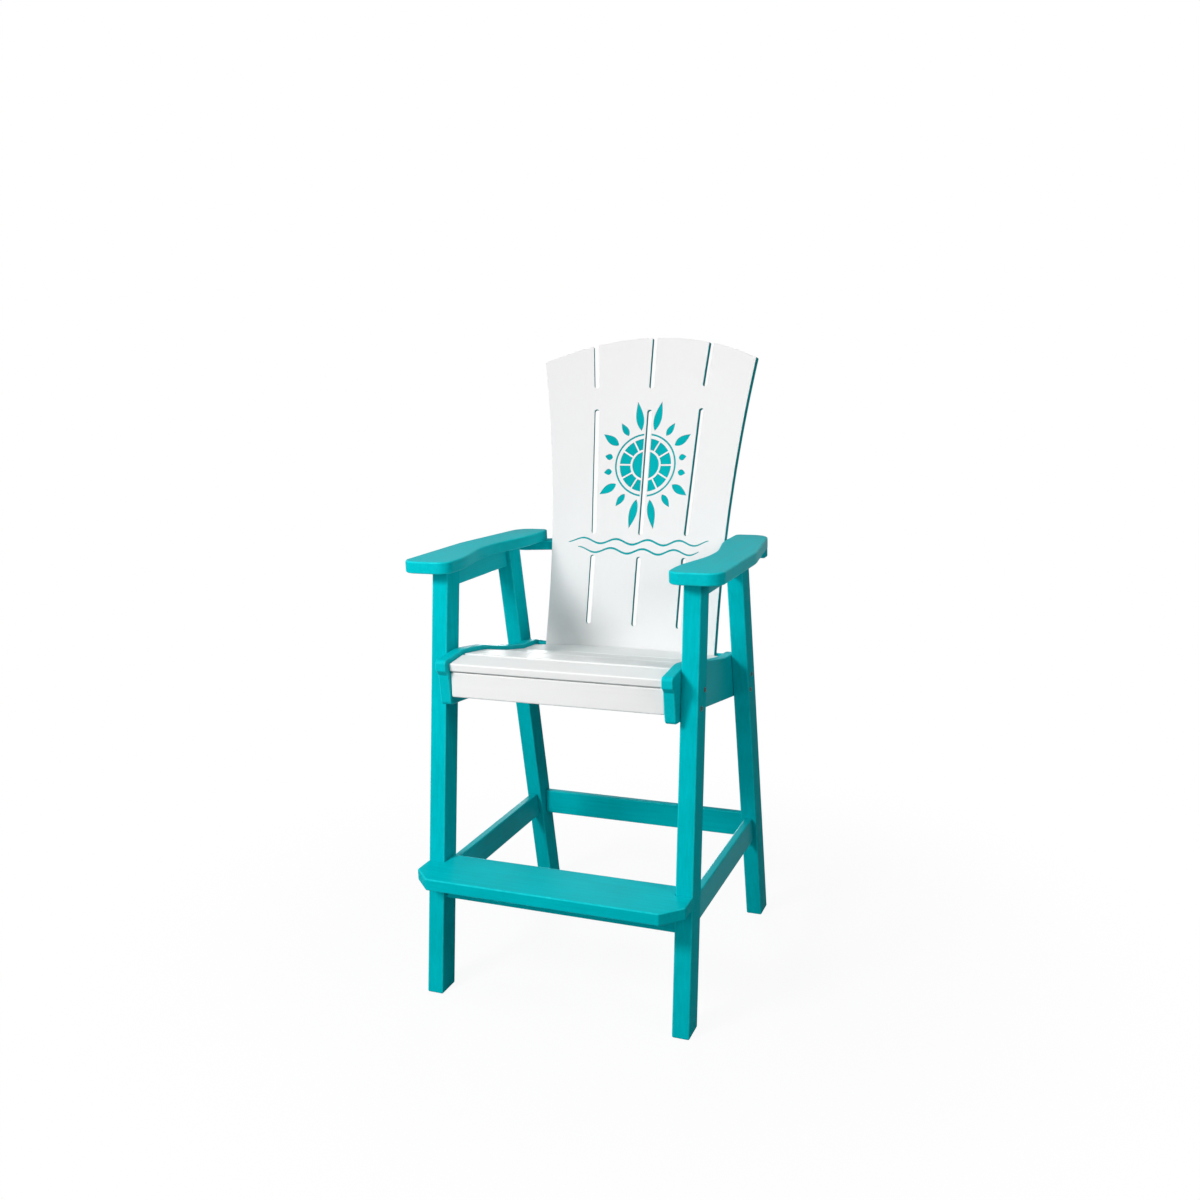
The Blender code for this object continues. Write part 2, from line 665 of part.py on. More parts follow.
def build_base(legs):
    """Stretchers between the legs, and the footrest across the front pair."""
    base = {}
    middle = STRETCHER_TOP - STRETCHER_HEIGHT / 2
    for side, sign in SIDES:
        name = "side_stretcher_" + side
        base[name] = side_rail(name, sign, STRETCHER_LOW, STRETCHER_TOP,
                               [legs["front_leg_" + side], legs["rear_leg_" + side]])
    rear_y = rear_leg_front(middle) + REAR_STRETCHER_INSET + STRETCHER_THICK / 2
    base["rear_stretcher"] = cross_rail("rear_stretcher", LEG_INNER, rear_y, middle, STRETCHER_THICK,
                                        STRETCHER_HEIGHT, [legs["rear_leg_left"], legs["rear_leg_right"]])
    base["front_stretcher"] = cross_rail("front_stretcher", LEG_INNER, front_stretcher_y(),
                                         FRONT_STRETCHER_MID, STRETCHER_THICK, FRONT_STRETCHER_HEIGHT,
                                         [legs["front_leg_left"], legs["front_leg_right"]])

    half = LEG_SPREAD / 2
    rear = FRONT_END + FOOTREST_DEPTH
    corner = FOOTREST_CORNER
    outline = [(half, rear), (-half, rear), (-half, FRONT_END + corner), (corner - half, FRONT_END),
               (half - corner, FRONT_END), (half, FRONT_END + corner)]
    footrest = piece("footrest", plate_mesh("footrest", [outline], FOOTREST_THICK),
                     Matrix.Translation((0, 0, FOOTREST_TOP - FOOTREST_THICK / 2)), TEAL)
    soften(footrest)
    for side, sign in SIDES:
        combine(footrest, leg_tool("footrest_notch_" + side, sign, CLEAR, 0.05))
    base["footrest"] = footrest
    return base


def fasten(name, entry, outward, recess, length, boards):
    """One screw driven in at entry, with its stepped hole through the boards."""
    axis = Vector(outward)
    frame = Matrix.Translation(entry) @ axis.to_track_quat("Z", "Y").to_matrix().to_4x4()
    seat_z = -recess - HEAD_HEIGHT
    tip = -recess - length
    head = [(0, -recess), (0.7 * HEAD_RADIUS, -recess), (HEAD_RADIUS, -recess - 0.4 * HEAD_HEIGHT),
            (HEAD_RADIUS, seat_z), (SHANK_RADIUS, seat_z), (SHANK_RADIUS, tip + 2 * SHANK_RADIUS), (0, tip)]
    turn(piece(name, profile_mesh(name, head), frame, STEEL), SCREW_SIDES)
    bore, hole = HEAD_RADIUS + HEAD_CLEAR, SHANK_RADIUS + CLEAR
    steps = [(0, 0.02), (bore, 0.02), (bore, seat_z - CLEAR), (hole, seat_z - CLEAR),
             (hole, tip - CLEAR), (0, tip - CLEAR)]
    tool = cutter(name + "_hole", profile_mesh(name + "_hole", steps), frame)
    turn(tool, SCREW_SIDES)
    for board in boards:
        combine(board, tool)


def fasten_seat(legs, seat, back):
    """Screws of the legs, slats, cleats and lower back rail."""
    for side, sign in SIDES:
        rail, cleat = seat["seat_rail_" + side], seat["seat_cleat_" + side]
        for which, face, run, shift in (("front", front_leg_front, FRONT_LEG_RUN, LEG_SCREW_SHIFT),
                                        ("rear", rear_leg_front, REAR_LEG_RUN, -LEG_SCREW_SHIFT)):
            middle = face(SEAT_HEIGHT - LEG_SCREW_DEPTH) + run / 2
            z_mid = seat_height_at(middle) - LEG_SCREW_DEPTH
            for level, way in (("upper", 1), ("lower", -1)):
                z = z_mid + way * LEG_SCREW_RISE / 2
                y = face(z) + run / 2 + shift + way * LEG_SCREW_STAGGER
                fasten("leg_screw_%s_%s_%s" % (which, side, level), (sign * LEG_SPREAD / 2, y, z),
                       (sign, 0, 0), -LEG_SCREW_PROUD,
                       LEG_WIDTH + CLEAR + LEG_SCREW_PROUD + SCREW_BITE,
                       [legs["%s_leg_%s" % (which, side)], rail])

        x = sign * (CLEAT_OUTER - CLEAT_THICK / 2)
        drop = SLAT_THICK + CLEAR + CLEAT_HEIGHT
        length = CLEAT_HEIGHT + CLEAR - EDGE_SCREW_RECESS + SCREW_BITE
        for index in range(len(SLAT_TILT)):
            normal = slat_normal(index)
            run = SLAT_PITCH[index] * 0.5 if index < len(SLAT_PITCH) else REAR_SLAT_RUN * 0.32
            entry = KNOTS[index] + Vector((normal.y, -normal.x)) * run - normal * drop
            fasten("slat_screw_%d_%s" % (index + 1, side), (x, entry.x, entry.y),
                   (0, -normal.x, -normal.y), EDGE_SCREW_RECESS, length,
                   [cleat, seat["seat_slat_%d" % (index + 1)]])
        entry = PANEL_FRAME @ Vector((x, -BACK_RAIL_THICK - CLEAR - CLEAT_HEIGHT, -BACK_RAIL_DEPTH / 2))
        fasten("rail_screw_" + side, entry, (0, -math.sin(LEAN), -math.cos(LEAN)), EDGE_SCREW_RECESS,
               length, [cleat, back["back_rail_lower"]])

        for place, knot, index in (("front", KNOTS[2], 1), ("rear", KNOTS[4], 3)):
            entry = knot - slat_normal(index) * (SLAT_THICK + CLEAT_HEIGHT / 2)
            fasten("cleat_screw_%s_%s" % (place, side), (sign * CLEAT_INNER, entry.x, entry.y),
                   (-sign, 0, 0), FACE_SCREW_RECESS, CLEAT_THICK + CLEAR - FACE_SCREW_RECESS + SCREW_BITE,
                   [cleat, rail])


def fasten_frame(back, arms, base):
    """Screws of the back panel, arms and footrest."""
    up_z = ARM_BOTTOM - CLEAR - BACK_RAIL_THICK
    middle = up_z + BACK_RAIL_THICK / 2
    panel_x = SLOT_SPREAD * PANEL_WAIST_WIDTH / 4
    bite = 0.7 * PANEL_THICK
    rear = panel_back_at(middle) + BACK_RAIL_DEPTH
    lap = panel_back_at(middle) - BACK_RAIL_HORN + BACK_RAIL_LAP / 2
    length = BACK_RAIL_DEPTH + CLEAR - EDGE_SCREW_RECESS + bite
    inward = PANEL_FRAME.to_3x3() @ Vector((0, 0, -1))
    for side, sign in SIDES:
        x = sign * panel_x
        panel = back["back_panel"]
        hollow = PANEL_RADIUS - math.sqrt(PANEL_RADIUS ** 2 - panel_x ** 2)
        fasten("panel_screw_upper_" + side, (x, rear, middle), (0, 1, 0), EDGE_SCREW_RECESS,
               length + hollow, [back["back_rail_upper"], panel])
        entry = PANEL_FRAME @ Vector((x, -BACK_RAIL_THICK / 2, -PANEL_THICK - BACK_RAIL_DEPTH))
        fasten("panel_screw_lower_" + side, entry, inward, EDGE_SCREW_RECESS, length + hollow,
               [back["back_rail_lower"], panel])

        arm, rail = arms["arm_" + side], arms["arm_rail_" + side]
        rail_z = ARM_BOTTOM - CLEAR - ARM_RAIL_HEIGHT
        rail_y = (front_leg_rear(rail_z) + rear_leg_front(rail_z)) / 2
        deep = ARM_RAIL_HEIGHT / 2
        fasten("arm_screw_front_" + side, (sign * LEG_CENTRE, rail_y, rail_z), (0, 0, -1), deep,
               ARM_RAIL_HEIGHT - deep + CLEAR + SCREW_BITE, [rail, arm])
        fasten("arm_screw_rear_" + side, (sign * LEG_SPREAD / 2, lap, up_z), (0, 0, -1), FACE_SCREW_RECESS,
               BACK_RAIL_THICK - FACE_SCREW_RECESS + CLEAR + SCREW_BITE, [back["back_rail_upper"], arm])

        deep = FRONT_STRETCHER_HEIGHT / 2
        entry = (sign * LEG_INNER / 2, front_stretcher_y(), STRETCHER_LOW)
        fasten("footrest_screw_" + side, entry, (0, 0, -1), deep,
               FRONT_STRETCHER_HEIGHT - deep + CLEAR + SCREW_BITE,
               [base["front_stretcher"], base["footrest"]])


LEGS = build_legs()
SEAT = build_seat()
BACK = build_back(SEAT)
ARMS = build_arms(LEGS)
BASE = build_base(LEGS)
fasten_seat(LEGS, SEAT, BACK)
fasten_frame(BACK, ARMS, BASE)
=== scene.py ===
"""Dressed model of a tall fan-back counter chair in teal and white board plastic.

Every visible board is a plate with rounded edges, worked out as rings of points round its outline.
The back is a sheet with light skins over a coloured core, bent to a hollow. Places are worked out
in the leg frame, where Y starts at the front feet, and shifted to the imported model's frame at the
end. Lengths are in metres.
"""
import math

import bpy
import numpy as np
from mathutils import Matrix, Vector, geometry


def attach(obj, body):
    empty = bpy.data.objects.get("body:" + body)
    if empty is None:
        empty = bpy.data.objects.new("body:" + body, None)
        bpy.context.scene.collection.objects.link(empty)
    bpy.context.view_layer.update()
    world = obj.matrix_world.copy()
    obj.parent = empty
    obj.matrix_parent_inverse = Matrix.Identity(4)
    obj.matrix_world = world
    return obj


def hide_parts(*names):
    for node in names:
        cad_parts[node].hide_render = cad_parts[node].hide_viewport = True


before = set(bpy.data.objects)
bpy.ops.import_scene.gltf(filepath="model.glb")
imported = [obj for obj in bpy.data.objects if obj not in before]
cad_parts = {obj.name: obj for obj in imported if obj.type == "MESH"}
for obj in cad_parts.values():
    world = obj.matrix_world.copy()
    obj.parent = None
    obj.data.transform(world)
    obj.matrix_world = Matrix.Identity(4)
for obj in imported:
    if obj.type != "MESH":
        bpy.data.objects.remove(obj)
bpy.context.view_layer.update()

# Fits, edges and arcs
CLEAR = 0.0003
BOARD_EDGE = 0.0036
ARM_EDGE = 0.0040
EDGE_STEPS = 4
ARC_PITCH = 0.012
ARC_ROOM = 0.004
TURN_STEP = 5.0
ROUND_OFF = 1e-6
SHARP_ANGLE = math.radians(35)

# Legs
LEG_SPREAD = 0.642
LEG_WIDTH = 0.040
LEG_DEPTH = 0.060
FRONT_RAKE = math.radians(7.4)
REAR_RAKE = math.radians(10.6)
FRONT_TAN = math.tan(FRONT_RAKE)
REAR_TAN = math.tan(REAR_RAKE)
FRONT_LEG_RUN = LEG_DEPTH / math.cos(FRONT_RAKE)
REAR_LEG_RUN = LEG_DEPTH / math.cos(REAR_RAKE)
FOOT_RUN = 0.634
LEG_INNER = LEG_SPREAD / 2 - LEG_WIDTH
LEG_CENTRE = LEG_SPREAD / 2 - LEG_WIDTH / 2

# Seat line, slats and apron
SEAT_HEIGHT = 0.783
SEAT_OVERHANG = 0.039
SLAT_RUN = np.array((0.0735, 0.107, 0.108, 0.107, 0.1112))
SLAT_TILT = np.radians((5.5, -7.8, -14.2, -11.0, -4.2))
SLAT_THICK = 0.019
SLAT_GAP = 0.003
APRON_HEIGHT = 0.058
APRON_THICK = 0.019
APRON_SET_BACK = 0.006
APRON_GAP = 0.0025

# Seat rails
RAIL_THICK = 0.026
RAIL_PROUD = 0.0105
RAIL_DEPTH_FRONT = 0.0975
RAIL_DEPTH_MID = 0.1065
RAIL_DEPTH_REAR = 0.095
RAIL_TAIL = 0.125
RAIL_TOP_ROUNDS = (0.10, 0.25, 0.40, 0.25, 0.10)
RAIL_TAIL_ROUND = 0.014
RAIL_BELLY_ROUND = 0.50
NOSE_REACH = 0.016
NOSE_HEIGHT = 0.0245
NOSE_DROP = 0.001
NOSE_TOP_ROUND = 0.010
NOSE_LOW_ROUND = 0.005
LIP_STEP = 0.0112
LIP_ROUND = 0.004
FRONT_SLOPE = 0.0075
TOE_ROUND = 0.010
RAIL_OUTER = LEG_INNER - CLEAR
RAIL_INNER = RAIL_OUTER - RAIL_THICK
SEAT_HALF = RAIL_INNER - CLEAR

# Back panel, heights along its slope from the seat
LEAN = math.radians(16.3)
PANEL_RADIUS = 0.900
PANEL_THICK = 0.0127
PANEL_FOOT = 0.045
PANEL_WAIST = 0.058
PANEL_SHOULDER = 0.738
PANEL_CROWN = 0.072
PANEL_WAIST_HALF = 0.455 / 2
PANEL_TOP_HALF = 0.572 / 2
PANEL_TOP = PANEL_SHOULDER + PANEL_CROWN
PANEL_FLARE = PANEL_TOP_HALF - PANEL_WAIST_HALF
PANEL_RISE = PANEL_SHOULDER - PANEL_WAIST
PANEL_CORNER = 0.004
PANEL_SKIN = 0.0011
PANEL_EDGE = 0.0006
PANEL_EDGE_STEPS = 3
FLARE_RADIUS = (PANEL_RISE * PANEL_RISE + PANEL_FLARE * PANEL_FLARE) / (2 * PANEL_FLARE)
FLARE_ROOM = 0.006
ARCH_RADIUS = (PANEL_TOP_HALF ** 2 + PANEL_CROWN ** 2) / (2 * PANEL_CROWN)
ARCH_CENTRE = np.array((0.0, PANEL_TOP - ARCH_RADIUS))
ARCH_ROOM = 0.005
SLOT_WIDTH = 0.0127
SLOT_ROWS = ((0.055, 0.2345), (0.291, 0.6195))
SLOT_TOP_START = 0.676
SLOT_SPREAD = 0.535
SLOT_SHARES = (-SLOT_SPREAD, 0.0, SLOT_SPREAD)
SLOT_END_SHARE = 0.98
SLOT_LIP = 0.0016
FACE_GRID = ((-0.27, 0.27, 46), (-0.034, 0.79, 40))
FACE_MARGIN = 0.008

# Arms, turns of their inner edge as shares of their length
ARM_TOP = 1.010
ARM_THICK = 0.028
ARM_BOTTOM = ARM_TOP - ARM_THICK
ARM_OVERHANG = 0.048
ARM_REACH = 0.056
ARM_WIDTH = 0.121
ARM_WAIST = 0.028
ARM_WAIST_TURNS = (0.78, 0.53, 0.38, 0.16)
ARM_TAPER = 0.0365
ARM_TAPER_START = 0.52
ARM_CURVE = 0.30
ARM_FRONT_ROUND = 0.036
ARM_INNER_ROUND = 0.9 * ARM_FRONT_ROUND
ARM_REAR_ROUND = 0.046
ARM_REAR_CORNER = 0.014
ARM_RAIL_HEIGHT = 0.0425

# Rails behind the panel
BACK_RAIL_THICK = 0.0235
BACK_RAIL_DEPTH = 0.050
BACK_RAIL_HORN = 0.054
BACK_RAIL_LAP = 0.044
BACK_RAIL_END = 0.019
BACK_RAIL_ROUND = 0.025
BACK_RAIL_ROOM = 1.2 * BACK_RAIL_ROUND

# Stretchers and footrest
STRETCHER_TOP = 0.287
STRETCHER_HEIGHT = 0.0635
STRETCHER_THICK = 0.019
STRETCHER_LOW = STRETCHER_TOP - STRETCHER_HEIGHT
REAR_STRETCHER_INSET = 0.026
FRONT_STRETCHER_INSET = 0.010
FOOTREST_TOP = 0.3135
FOOTREST_THICK = 0.028
FOOTREST_REACH = 0.0977
FOOTREST_DEPTH = 0.144
FOOTREST_CORNER = 0.045
FOOTREST_ROUND = 0.006

# Leg screws and the pits for their heads
HEAD_RADIUS = 0.0055
HEAD_HEIGHT = 0.003
HEAD_START = 0.0004
HEAD_RINGS = 22
HEAD_FALL = 0.4 * HEAD_HEIGHT
SOCKET_LOBES = 6
SOCKET_RADIUS = 0.0046
SOCKET_SWING = 0.12
SOCKET_EDGE = 0.0004
SOCKET_DEPTH = 0.0028
SHANK_RADIUS = 0.0022
SCREW_BITE = 0.012
LEG_SCREW_DEPTH = 0.0615
LEG_SCREW_RISE = 0.035
LEG_SCREW_STAGGER = 0.0105
LEG_SCREW_SHIFT = 0.007
LEG_SCREW_PROUD = 0.0018
PIT_RADIUS = 0.0070
PIT_RIM = 0.0008
PIT_FOOT = 0.0003

# Sun and waves cut into the panel's face, each wave with its level, half length and phase
ENGRAVE_DEPTH = 0.0012
SUN_MIDDLE = np.array((0.0, 0.474))
SUN_RADIUS = 0.036
SUN_PATCHES = 12
PATCH_RING = (0.0415, 0.070)
PATCH_JOINT = 0.0021
SUN_RINGS = (0.0785, 0.083)
SUN_RAYS = 16
SUN_REACH = (0.134, 0.172)
RAY_START = 0.092
LONG_RAY_HALF = 0.0105
SHORT_RAY_HALF = 0.0082
SHORT_RAY = 0.84
WAVES = ((0.272, 0.190, 0.0), (0.248, 0.165, 0.9))
WAVE_SWING = 0.0065
WAVE_LENGTH = 0.086
WAVE_WIDTH = 0.0055
SLOT_MARGIN = 0.0035

# Colours
TEAL = (0.0, 0.50, 0.555, 1)
# Lighter edge colour for rounded teal edges: partly edge wear, partly a painted highlight
TEAL_HIGHLIT_EDGE = (0.02, 0.70, 0.75, 1)
CORE_TEAL = (0.003, 0.41, 0.44, 1)
WHITE = (0.875, 0.875, 0.87, 1)
# Lighter edge colour for rounded white edges: partly edge wear, partly a painted highlight
WHITE_HIGHLIT_EDGE = (0.90, 0.90, 0.895, 1)
SHEET_WHITE = (0.835, 0.826, 0.826, 1)
STEEL_DARK = (0.08, 0.07, 0.062, 1)
STEEL_LIGHT = (0.26, 0.23, 0.20, 1)
# Near black painted into the screws' driver hollows as their shade
SOCKET_PAINTED_SHADE = (0.02, 0.02, 0.02, 1)
PAPER_WHITE = (0.85, 0.85, 0.85, 1)
BOUNCE_GREY = (0.36, 0.36, 0.36, 1)
PURE_WHITE = (1, 1, 1, 1)

# Grain of a finish: how fast its drawn lines change along X, Y and Z
ALONG_X, ALONG_Y, ALONG_Z = (5, 170, 170), (170, 5, 170), (170, 170, 5)
EVEN_GRAIN = (420, 420, 420)

# Noise in a finish: scale, detail and roughness
LINE_NOISE = (1.0, 3.0, 0.6)
MOTTLE_NOISE = (8.0, 4.0, 0.6)
TOOTH_NOISE = (900.0, 2.0, 0.5)
SCUFF_NOISE = (55.0, 3.0, 0.65)
SMUDGE_NOISE = (600.0, 2.0, 0.5)

# Floor and surroundings
FLOOR_HALF = 30.0
FLOOR_FADE = (0.45, 1.5)
FLOOR_GLOW = (0.93, 1.0)
FILL_LEVEL = 0.12

# Lamps in the model's frame: place, target, size and power
LAMPS = {
    "key_light": ((-1.05, -2.2, 2.2), (0, 0, 0.75), 0.6, 47),
    "far_light": ((-1.3, -3.6, 1.9), (0, 0, 0.75), 0.6, 10),
    "low_light": ((-0.3, -2.6, 0.9), (0, 0, 0.75), 0.6, 8),
    "top_light": ((0.0, -0.80, 3.2), (0, 0, 0.75), 1.4, 13),
    "right_light": ((1.5, -0.7, 1.55), (0, 0, 0.8), 0.5, 5.6),
    "left_light": ((-2.8, -0.8, 1.6), (0, 0, 0.75), 0.9, 6),
    "back_light": ((-1.1, 2.4, 0.55), (0.1, 0, 0.9), 0.85, 46),
}

# Camera, its place in the leg frame
CAMERA_PLACE = (1.0423, -2.2395, 1.4369)
CAMERA_YAW = math.radians(-21.898)
CAMERA_PITCH = math.radians(11.167)
CAMERA_ROLL = math.radians(-1.559)
CAMERA_LENS = 35.9457
SENSOR_WIDTH = 36.0
VIEW_END = 100.0

SIDES = (("left", -1), ("right", 1))


def unit(vectors):
    """Vectors divided by their lengths."""
    return vectors / np.linalg.norm(vectors, axis=-1, keepdims=True)


def spokes(angle):
    """Directions (cos, sin) at angles."""
    return np.stack([np.cos(angle), np.sin(angle)], axis=1)


def front_leg_front(z):
    """Y of the front legs' front face at height z."""
    return z * FRONT_TAN


def front_leg_rear(z):
    """Y of the front legs' rear face at height z."""
    return z * FRONT_TAN + FRONT_LEG_RUN


def rear_leg_front(z):
    """Y of the rear legs' front face at height z."""
    return FOOT_RUN - z * REAR_TAN


def seat_line():
    """Points (y, z) where the slats' tops meet: running sums of run * (cos, sin) of the tilt."""
    start = np.array((front_leg_front(SEAT_HEIGHT) - SEAT_OVERHANG, SEAT_HEIGHT))
    steps = SLAT_RUN[:, None] * spokes(SLAT_TILT)
    return start + np.concatenate([np.zeros((1, 2)), np.cumsum(steps, axis=0)])


KNOTS = seat_line()
UP_PANEL = np.array((math.sin(LEAN), math.cos(LEAN)))
SQUARE_TO_PANEL = np.array((math.cos(LEAN), -math.sin(LEAN)))
FRONT_END = front_leg_front(FOOTREST_TOP) - FOOTREST_REACH
REAR_END = KNOTS[-1, 0] + PANEL_TOP * math.sin(LEAN) + PANEL_THICK * math.cos(LEAN)
Y_MID = (FRONT_END + REAR_END) / 2


def panel_back_at(z):
    """Y of the panel's rear face at height z, at the middle."""
    return KNOTS[-1, 0] + (z - KNOTS[-1, 1]) * math.tan(LEAN) + PANEL_THICK / math.cos(LEAN)


def set_frame(u, v, w, place):
    """Frame with axes u, v and w at a place of the leg frame, as a matrix in the model's frame."""
    matrix = np.identity(4)
    matrix[:3, :3] = np.stack([u, v, w], axis=1)
    matrix[:3, 3] = np.asarray(place, float) - (0, Y_MID, 0)
    return matrix


def upright_frame(x):
    """Board that stands along the chair at x: u is Y, v is Z."""
    return set_frame((0, 1, 0), (0, 0, 1), (1, 0, 0), (x, 0, 0))


def level_frame(z):
    """Board that lies level at height z: u is X, v is Y."""
    return set_frame((1, 0, 0), (0, 1, 0), (0, 0, 1), (0, 0, z))


def cross_frame(y):
    """Board that stands across the chair at y: u is X, v is Z."""
    return set_frame((1, 0, 0), (0, 0, 1), (0, -1, 0), (0, y, 0))


def tangent_outline(corners):
    """Closed outline through corners (u, v, radius), each an arc that both its sides touch.

    An arc's centre lies on the corner's bisector, radius / sin(half angle) from the corner. Its
    points are centre + radius * (cos, sin) over the swept angle, and its outward normal is the
    same direction, turned round where the outline is hollow. ROUND_OFF keeps the number of steps
    from hanging on the last digit. Returns points, normals and each point's corner number.
    """
    corners = np.asarray(corners, float)
    place, radius = corners[:, :2], corners[:, 2]
    before = unit(np.roll(place, 1, axis=0) - place)
    after = unit(np.roll(place, -1, axis=0) - place)
    half = np.arccos(np.clip((before * after).sum(axis=1), -1, 1)) / 2
    centre = place + unit(before + after) * (radius / np.sin(half))[:, None]
    first = place + before * (radius / np.tan(half))[:, None] - centre
    last = place + after * (radius / np.tan(half))[:, None] - centre
    start = np.arctan2(first[:, 1], first[:, 0])
    sweep = (np.arctan2(last[:, 1], last[:, 0]) - start + np.pi) % (2 * np.pi) - np.pi
    pieces = np.maximum(np.degrees(np.abs(sweep)) / TURN_STEP, np.abs(sweep) * radius / ARC_PITCH)
    count = np.maximum(2, np.ceil(pieces - ROUND_OFF).astype(int)) + 1
    owner = np.repeat(np.arange(len(corners)), count)
    step = np.arange(count.sum()) - np.repeat(np.cumsum(count) - count, count)
    angle = start[owner] + sweep[owner] * step / (count[owner] - 1)
    radial = spokes(angle)
    normal = radial * np.sign(sweep[owner])[:, None]
    return centre[owner] + radius[owner, None] * radial, normal, owner


def anticlockwise(corners):
    """Corners in anticlockwise order, by the sign of the area they enclose."""
    corners = np.asarray(corners, float)
    after = np.roll(corners, -1, axis=0)
    area = (corners[:, 0] * after[:, 1] - corners[:, 1] * after[:, 0]).sum()
    return corners if area > 0 else corners[::-1]


def edge_rings(thickness, edge, steps=EDGE_STEPS):
    """Inset, height and tilt of the rings of a rounded edge, lower face to upper face.

    Each rounding is a quarter circle: the inset is edge * (1 - cos), and the height is short of
    the face by edge * (1 - sin).
    """
    turn = np.linspace(0, np.pi / 2, steps + 1)
    inset = edge * (1 - np.cos(turn))
    rise = thickness / 2 - edge * (1 - np.sin(turn))
    return np.r_[inset[::-1], inset], np.r_[-rise[::-1], rise], np.r_[-turn[::-1], turn]


def wear_and_highlight_share(tilt):
    """Share of edge wear and painted highlight on an edge's rings: |sin(2 * tilt)|, most halfway
    round the edge.
    """
    return np.abs(np.sin(2 * tilt))


def raised(rings, third):
    """Rings of (u, v) with a third number that is the same all round each ring."""
    third = np.broadcast_to(third[:, None, None], rings.shape[:2] + (1,))
    return np.concatenate([rings, third], axis=2)


def wall_grid(outline, normal, inset, height, tilt):
    """Rings round an outline: outline - normal * inset at each height.

    A ring's normals are normal * cos(tilt), with sin(tilt) upwards.
    """
    flat = outline[None] - normal[None] * inset[:, None, None]
    level = np.cos(tilt)[:, None, None] * normal[None]
    return raised(flat, height), raised(level, np.sin(tilt))


def ring_faces(index):
    """Quads between closed rings of point numbers, one ring per row, upwards."""
    low, high = index[:-1], index[1:]
    quads = np.stack([low, np.roll(low, -1, axis=1), np.roll(high, -1, axis=1), high], axis=2)
    return quads.reshape(-1, 4)


class Surface:
    """Points with normals and a share of wear and painted light (edge highlight, socket shade), and
    faces with finishes, gathered block by block.
    """

    def __init__(self):
        """No points and no faces yet."""
        self.points, self.lean, self.wear_and_painted_light = np.empty((0, 3)), np.empty((0, 3)), np.empty(0)
        self.faces, self.finish = [], []

    def add_points(self, points, lean, wear_and_painted_light):
        """New points; returns their numbers."""
        first = len(self.points)
        self.points = np.concatenate([self.points, points])
        self.lean = np.concatenate([self.lean, lean])
        self.wear_and_painted_light = np.concatenate([self.wear_and_painted_light, wear_and_painted_light])
        return np.arange(first, len(self.points))

    def add_level(self, flat, height):
        """New points at one height, facing up if it is above 0 and else down; returns numbers."""
        points = np.column_stack([flat, np.full(len(flat), height)])
        lean = np.tile((0.0, 0.0, np.sign(height)), (len(flat), 1))
        return self.add_points(points, lean, np.zeros(len(flat)))

    def add_faces(self, faces, finish=0):
        """New faces, with one finish or one each."""
        self.faces += faces.tolist()
        self.finish.append(np.broadcast_to(finish, len(faces)))

    def add_rings(self, points, lean, wear_and_painted_light, bands=0):
        """Closed rings upwards with quads between; returns their numbers, one ring per row.

        The wear and painted-light share has a value for each ring, and bands a finish for each band
        between two rings.
        """
        rings, around = points.shape[:2]
        wear_and_painted_light = np.repeat(wear_and_painted_light, around)
        index = self.add_points(points.reshape(-1, 3), lean.reshape(-1, 3), wear_and_painted_light)
        index = index.reshape(rings, around)
        self.add_faces(ring_faces(index), np.repeat(np.broadcast_to(bands, rings - 1), around))
        return index


def fill_face(loops, inner=None, motifs=(), guards=()):
    """Constrained Delaunay filling of the first loop less the other loops.

    Motif loops mark triangles by the even-odd rule, except inside the guard loops. Returns the
    triangles, whether each lies in a motif, and the extra points needed beside the loops' own.
    """
    rims = list(loops) + list(motifs) + list(guards)
    first_guard = len(loops) + len(motifs)
    sizes = np.array([len(rim) for rim in rims])
    ends = np.cumsum(sizes)
    own = ends[len(loops) - 1]
    sides = [np.arange(end - size, end) for size, end in zip(sizes, ends)]
    clockwise = list(range(1, len(loops))) + list(range(first_guard, len(rims)))
    sides = [(side[::-1] if k in clockwise else side).tolist() for k, side in enumerate(sides)]
    points = np.concatenate(rims + ([] if inner is None else [inner]))
    found = geometry.delaunay_2d_cdt(points.tolist(), [], sides, 1, 1e-7)
    place, triangles, source, cover = found[0], np.array(found[2]), found[3], found[5]
    source = np.array([min(names, default=len(points)) for names in source])
    extra = source >= own
    number = np.where(extra, own + np.cumsum(extra) - 1, source)
    inside = np.zeros((len(triangles), len(rims)), bool)
    rows = np.repeat(np.arange(len(triangles)), [len(names) for names in cover])
    inside[rows, [name for names in cover for name in names]] = True
    keep = inside[:, 0] & ~inside[:, 1:len(loops)].any(axis=1)
    marked = inside[:, len(loops):first_guard].sum(axis=1) % 2 == 1
    marked &= ~inside[:, first_guard:].any(axis=1)
    place = np.array([tuple(p) for p in place]).reshape(-1, 2)
    return number[triangles[keep]], marked[keep], place[extra]


def new_object(name, data):
    """Object of a mesh, lamp or camera, in the scene."""
    obj = bpy.data.objects.new(name, data)
    bpy.context.scene.collection.objects.link(obj)
    return obj


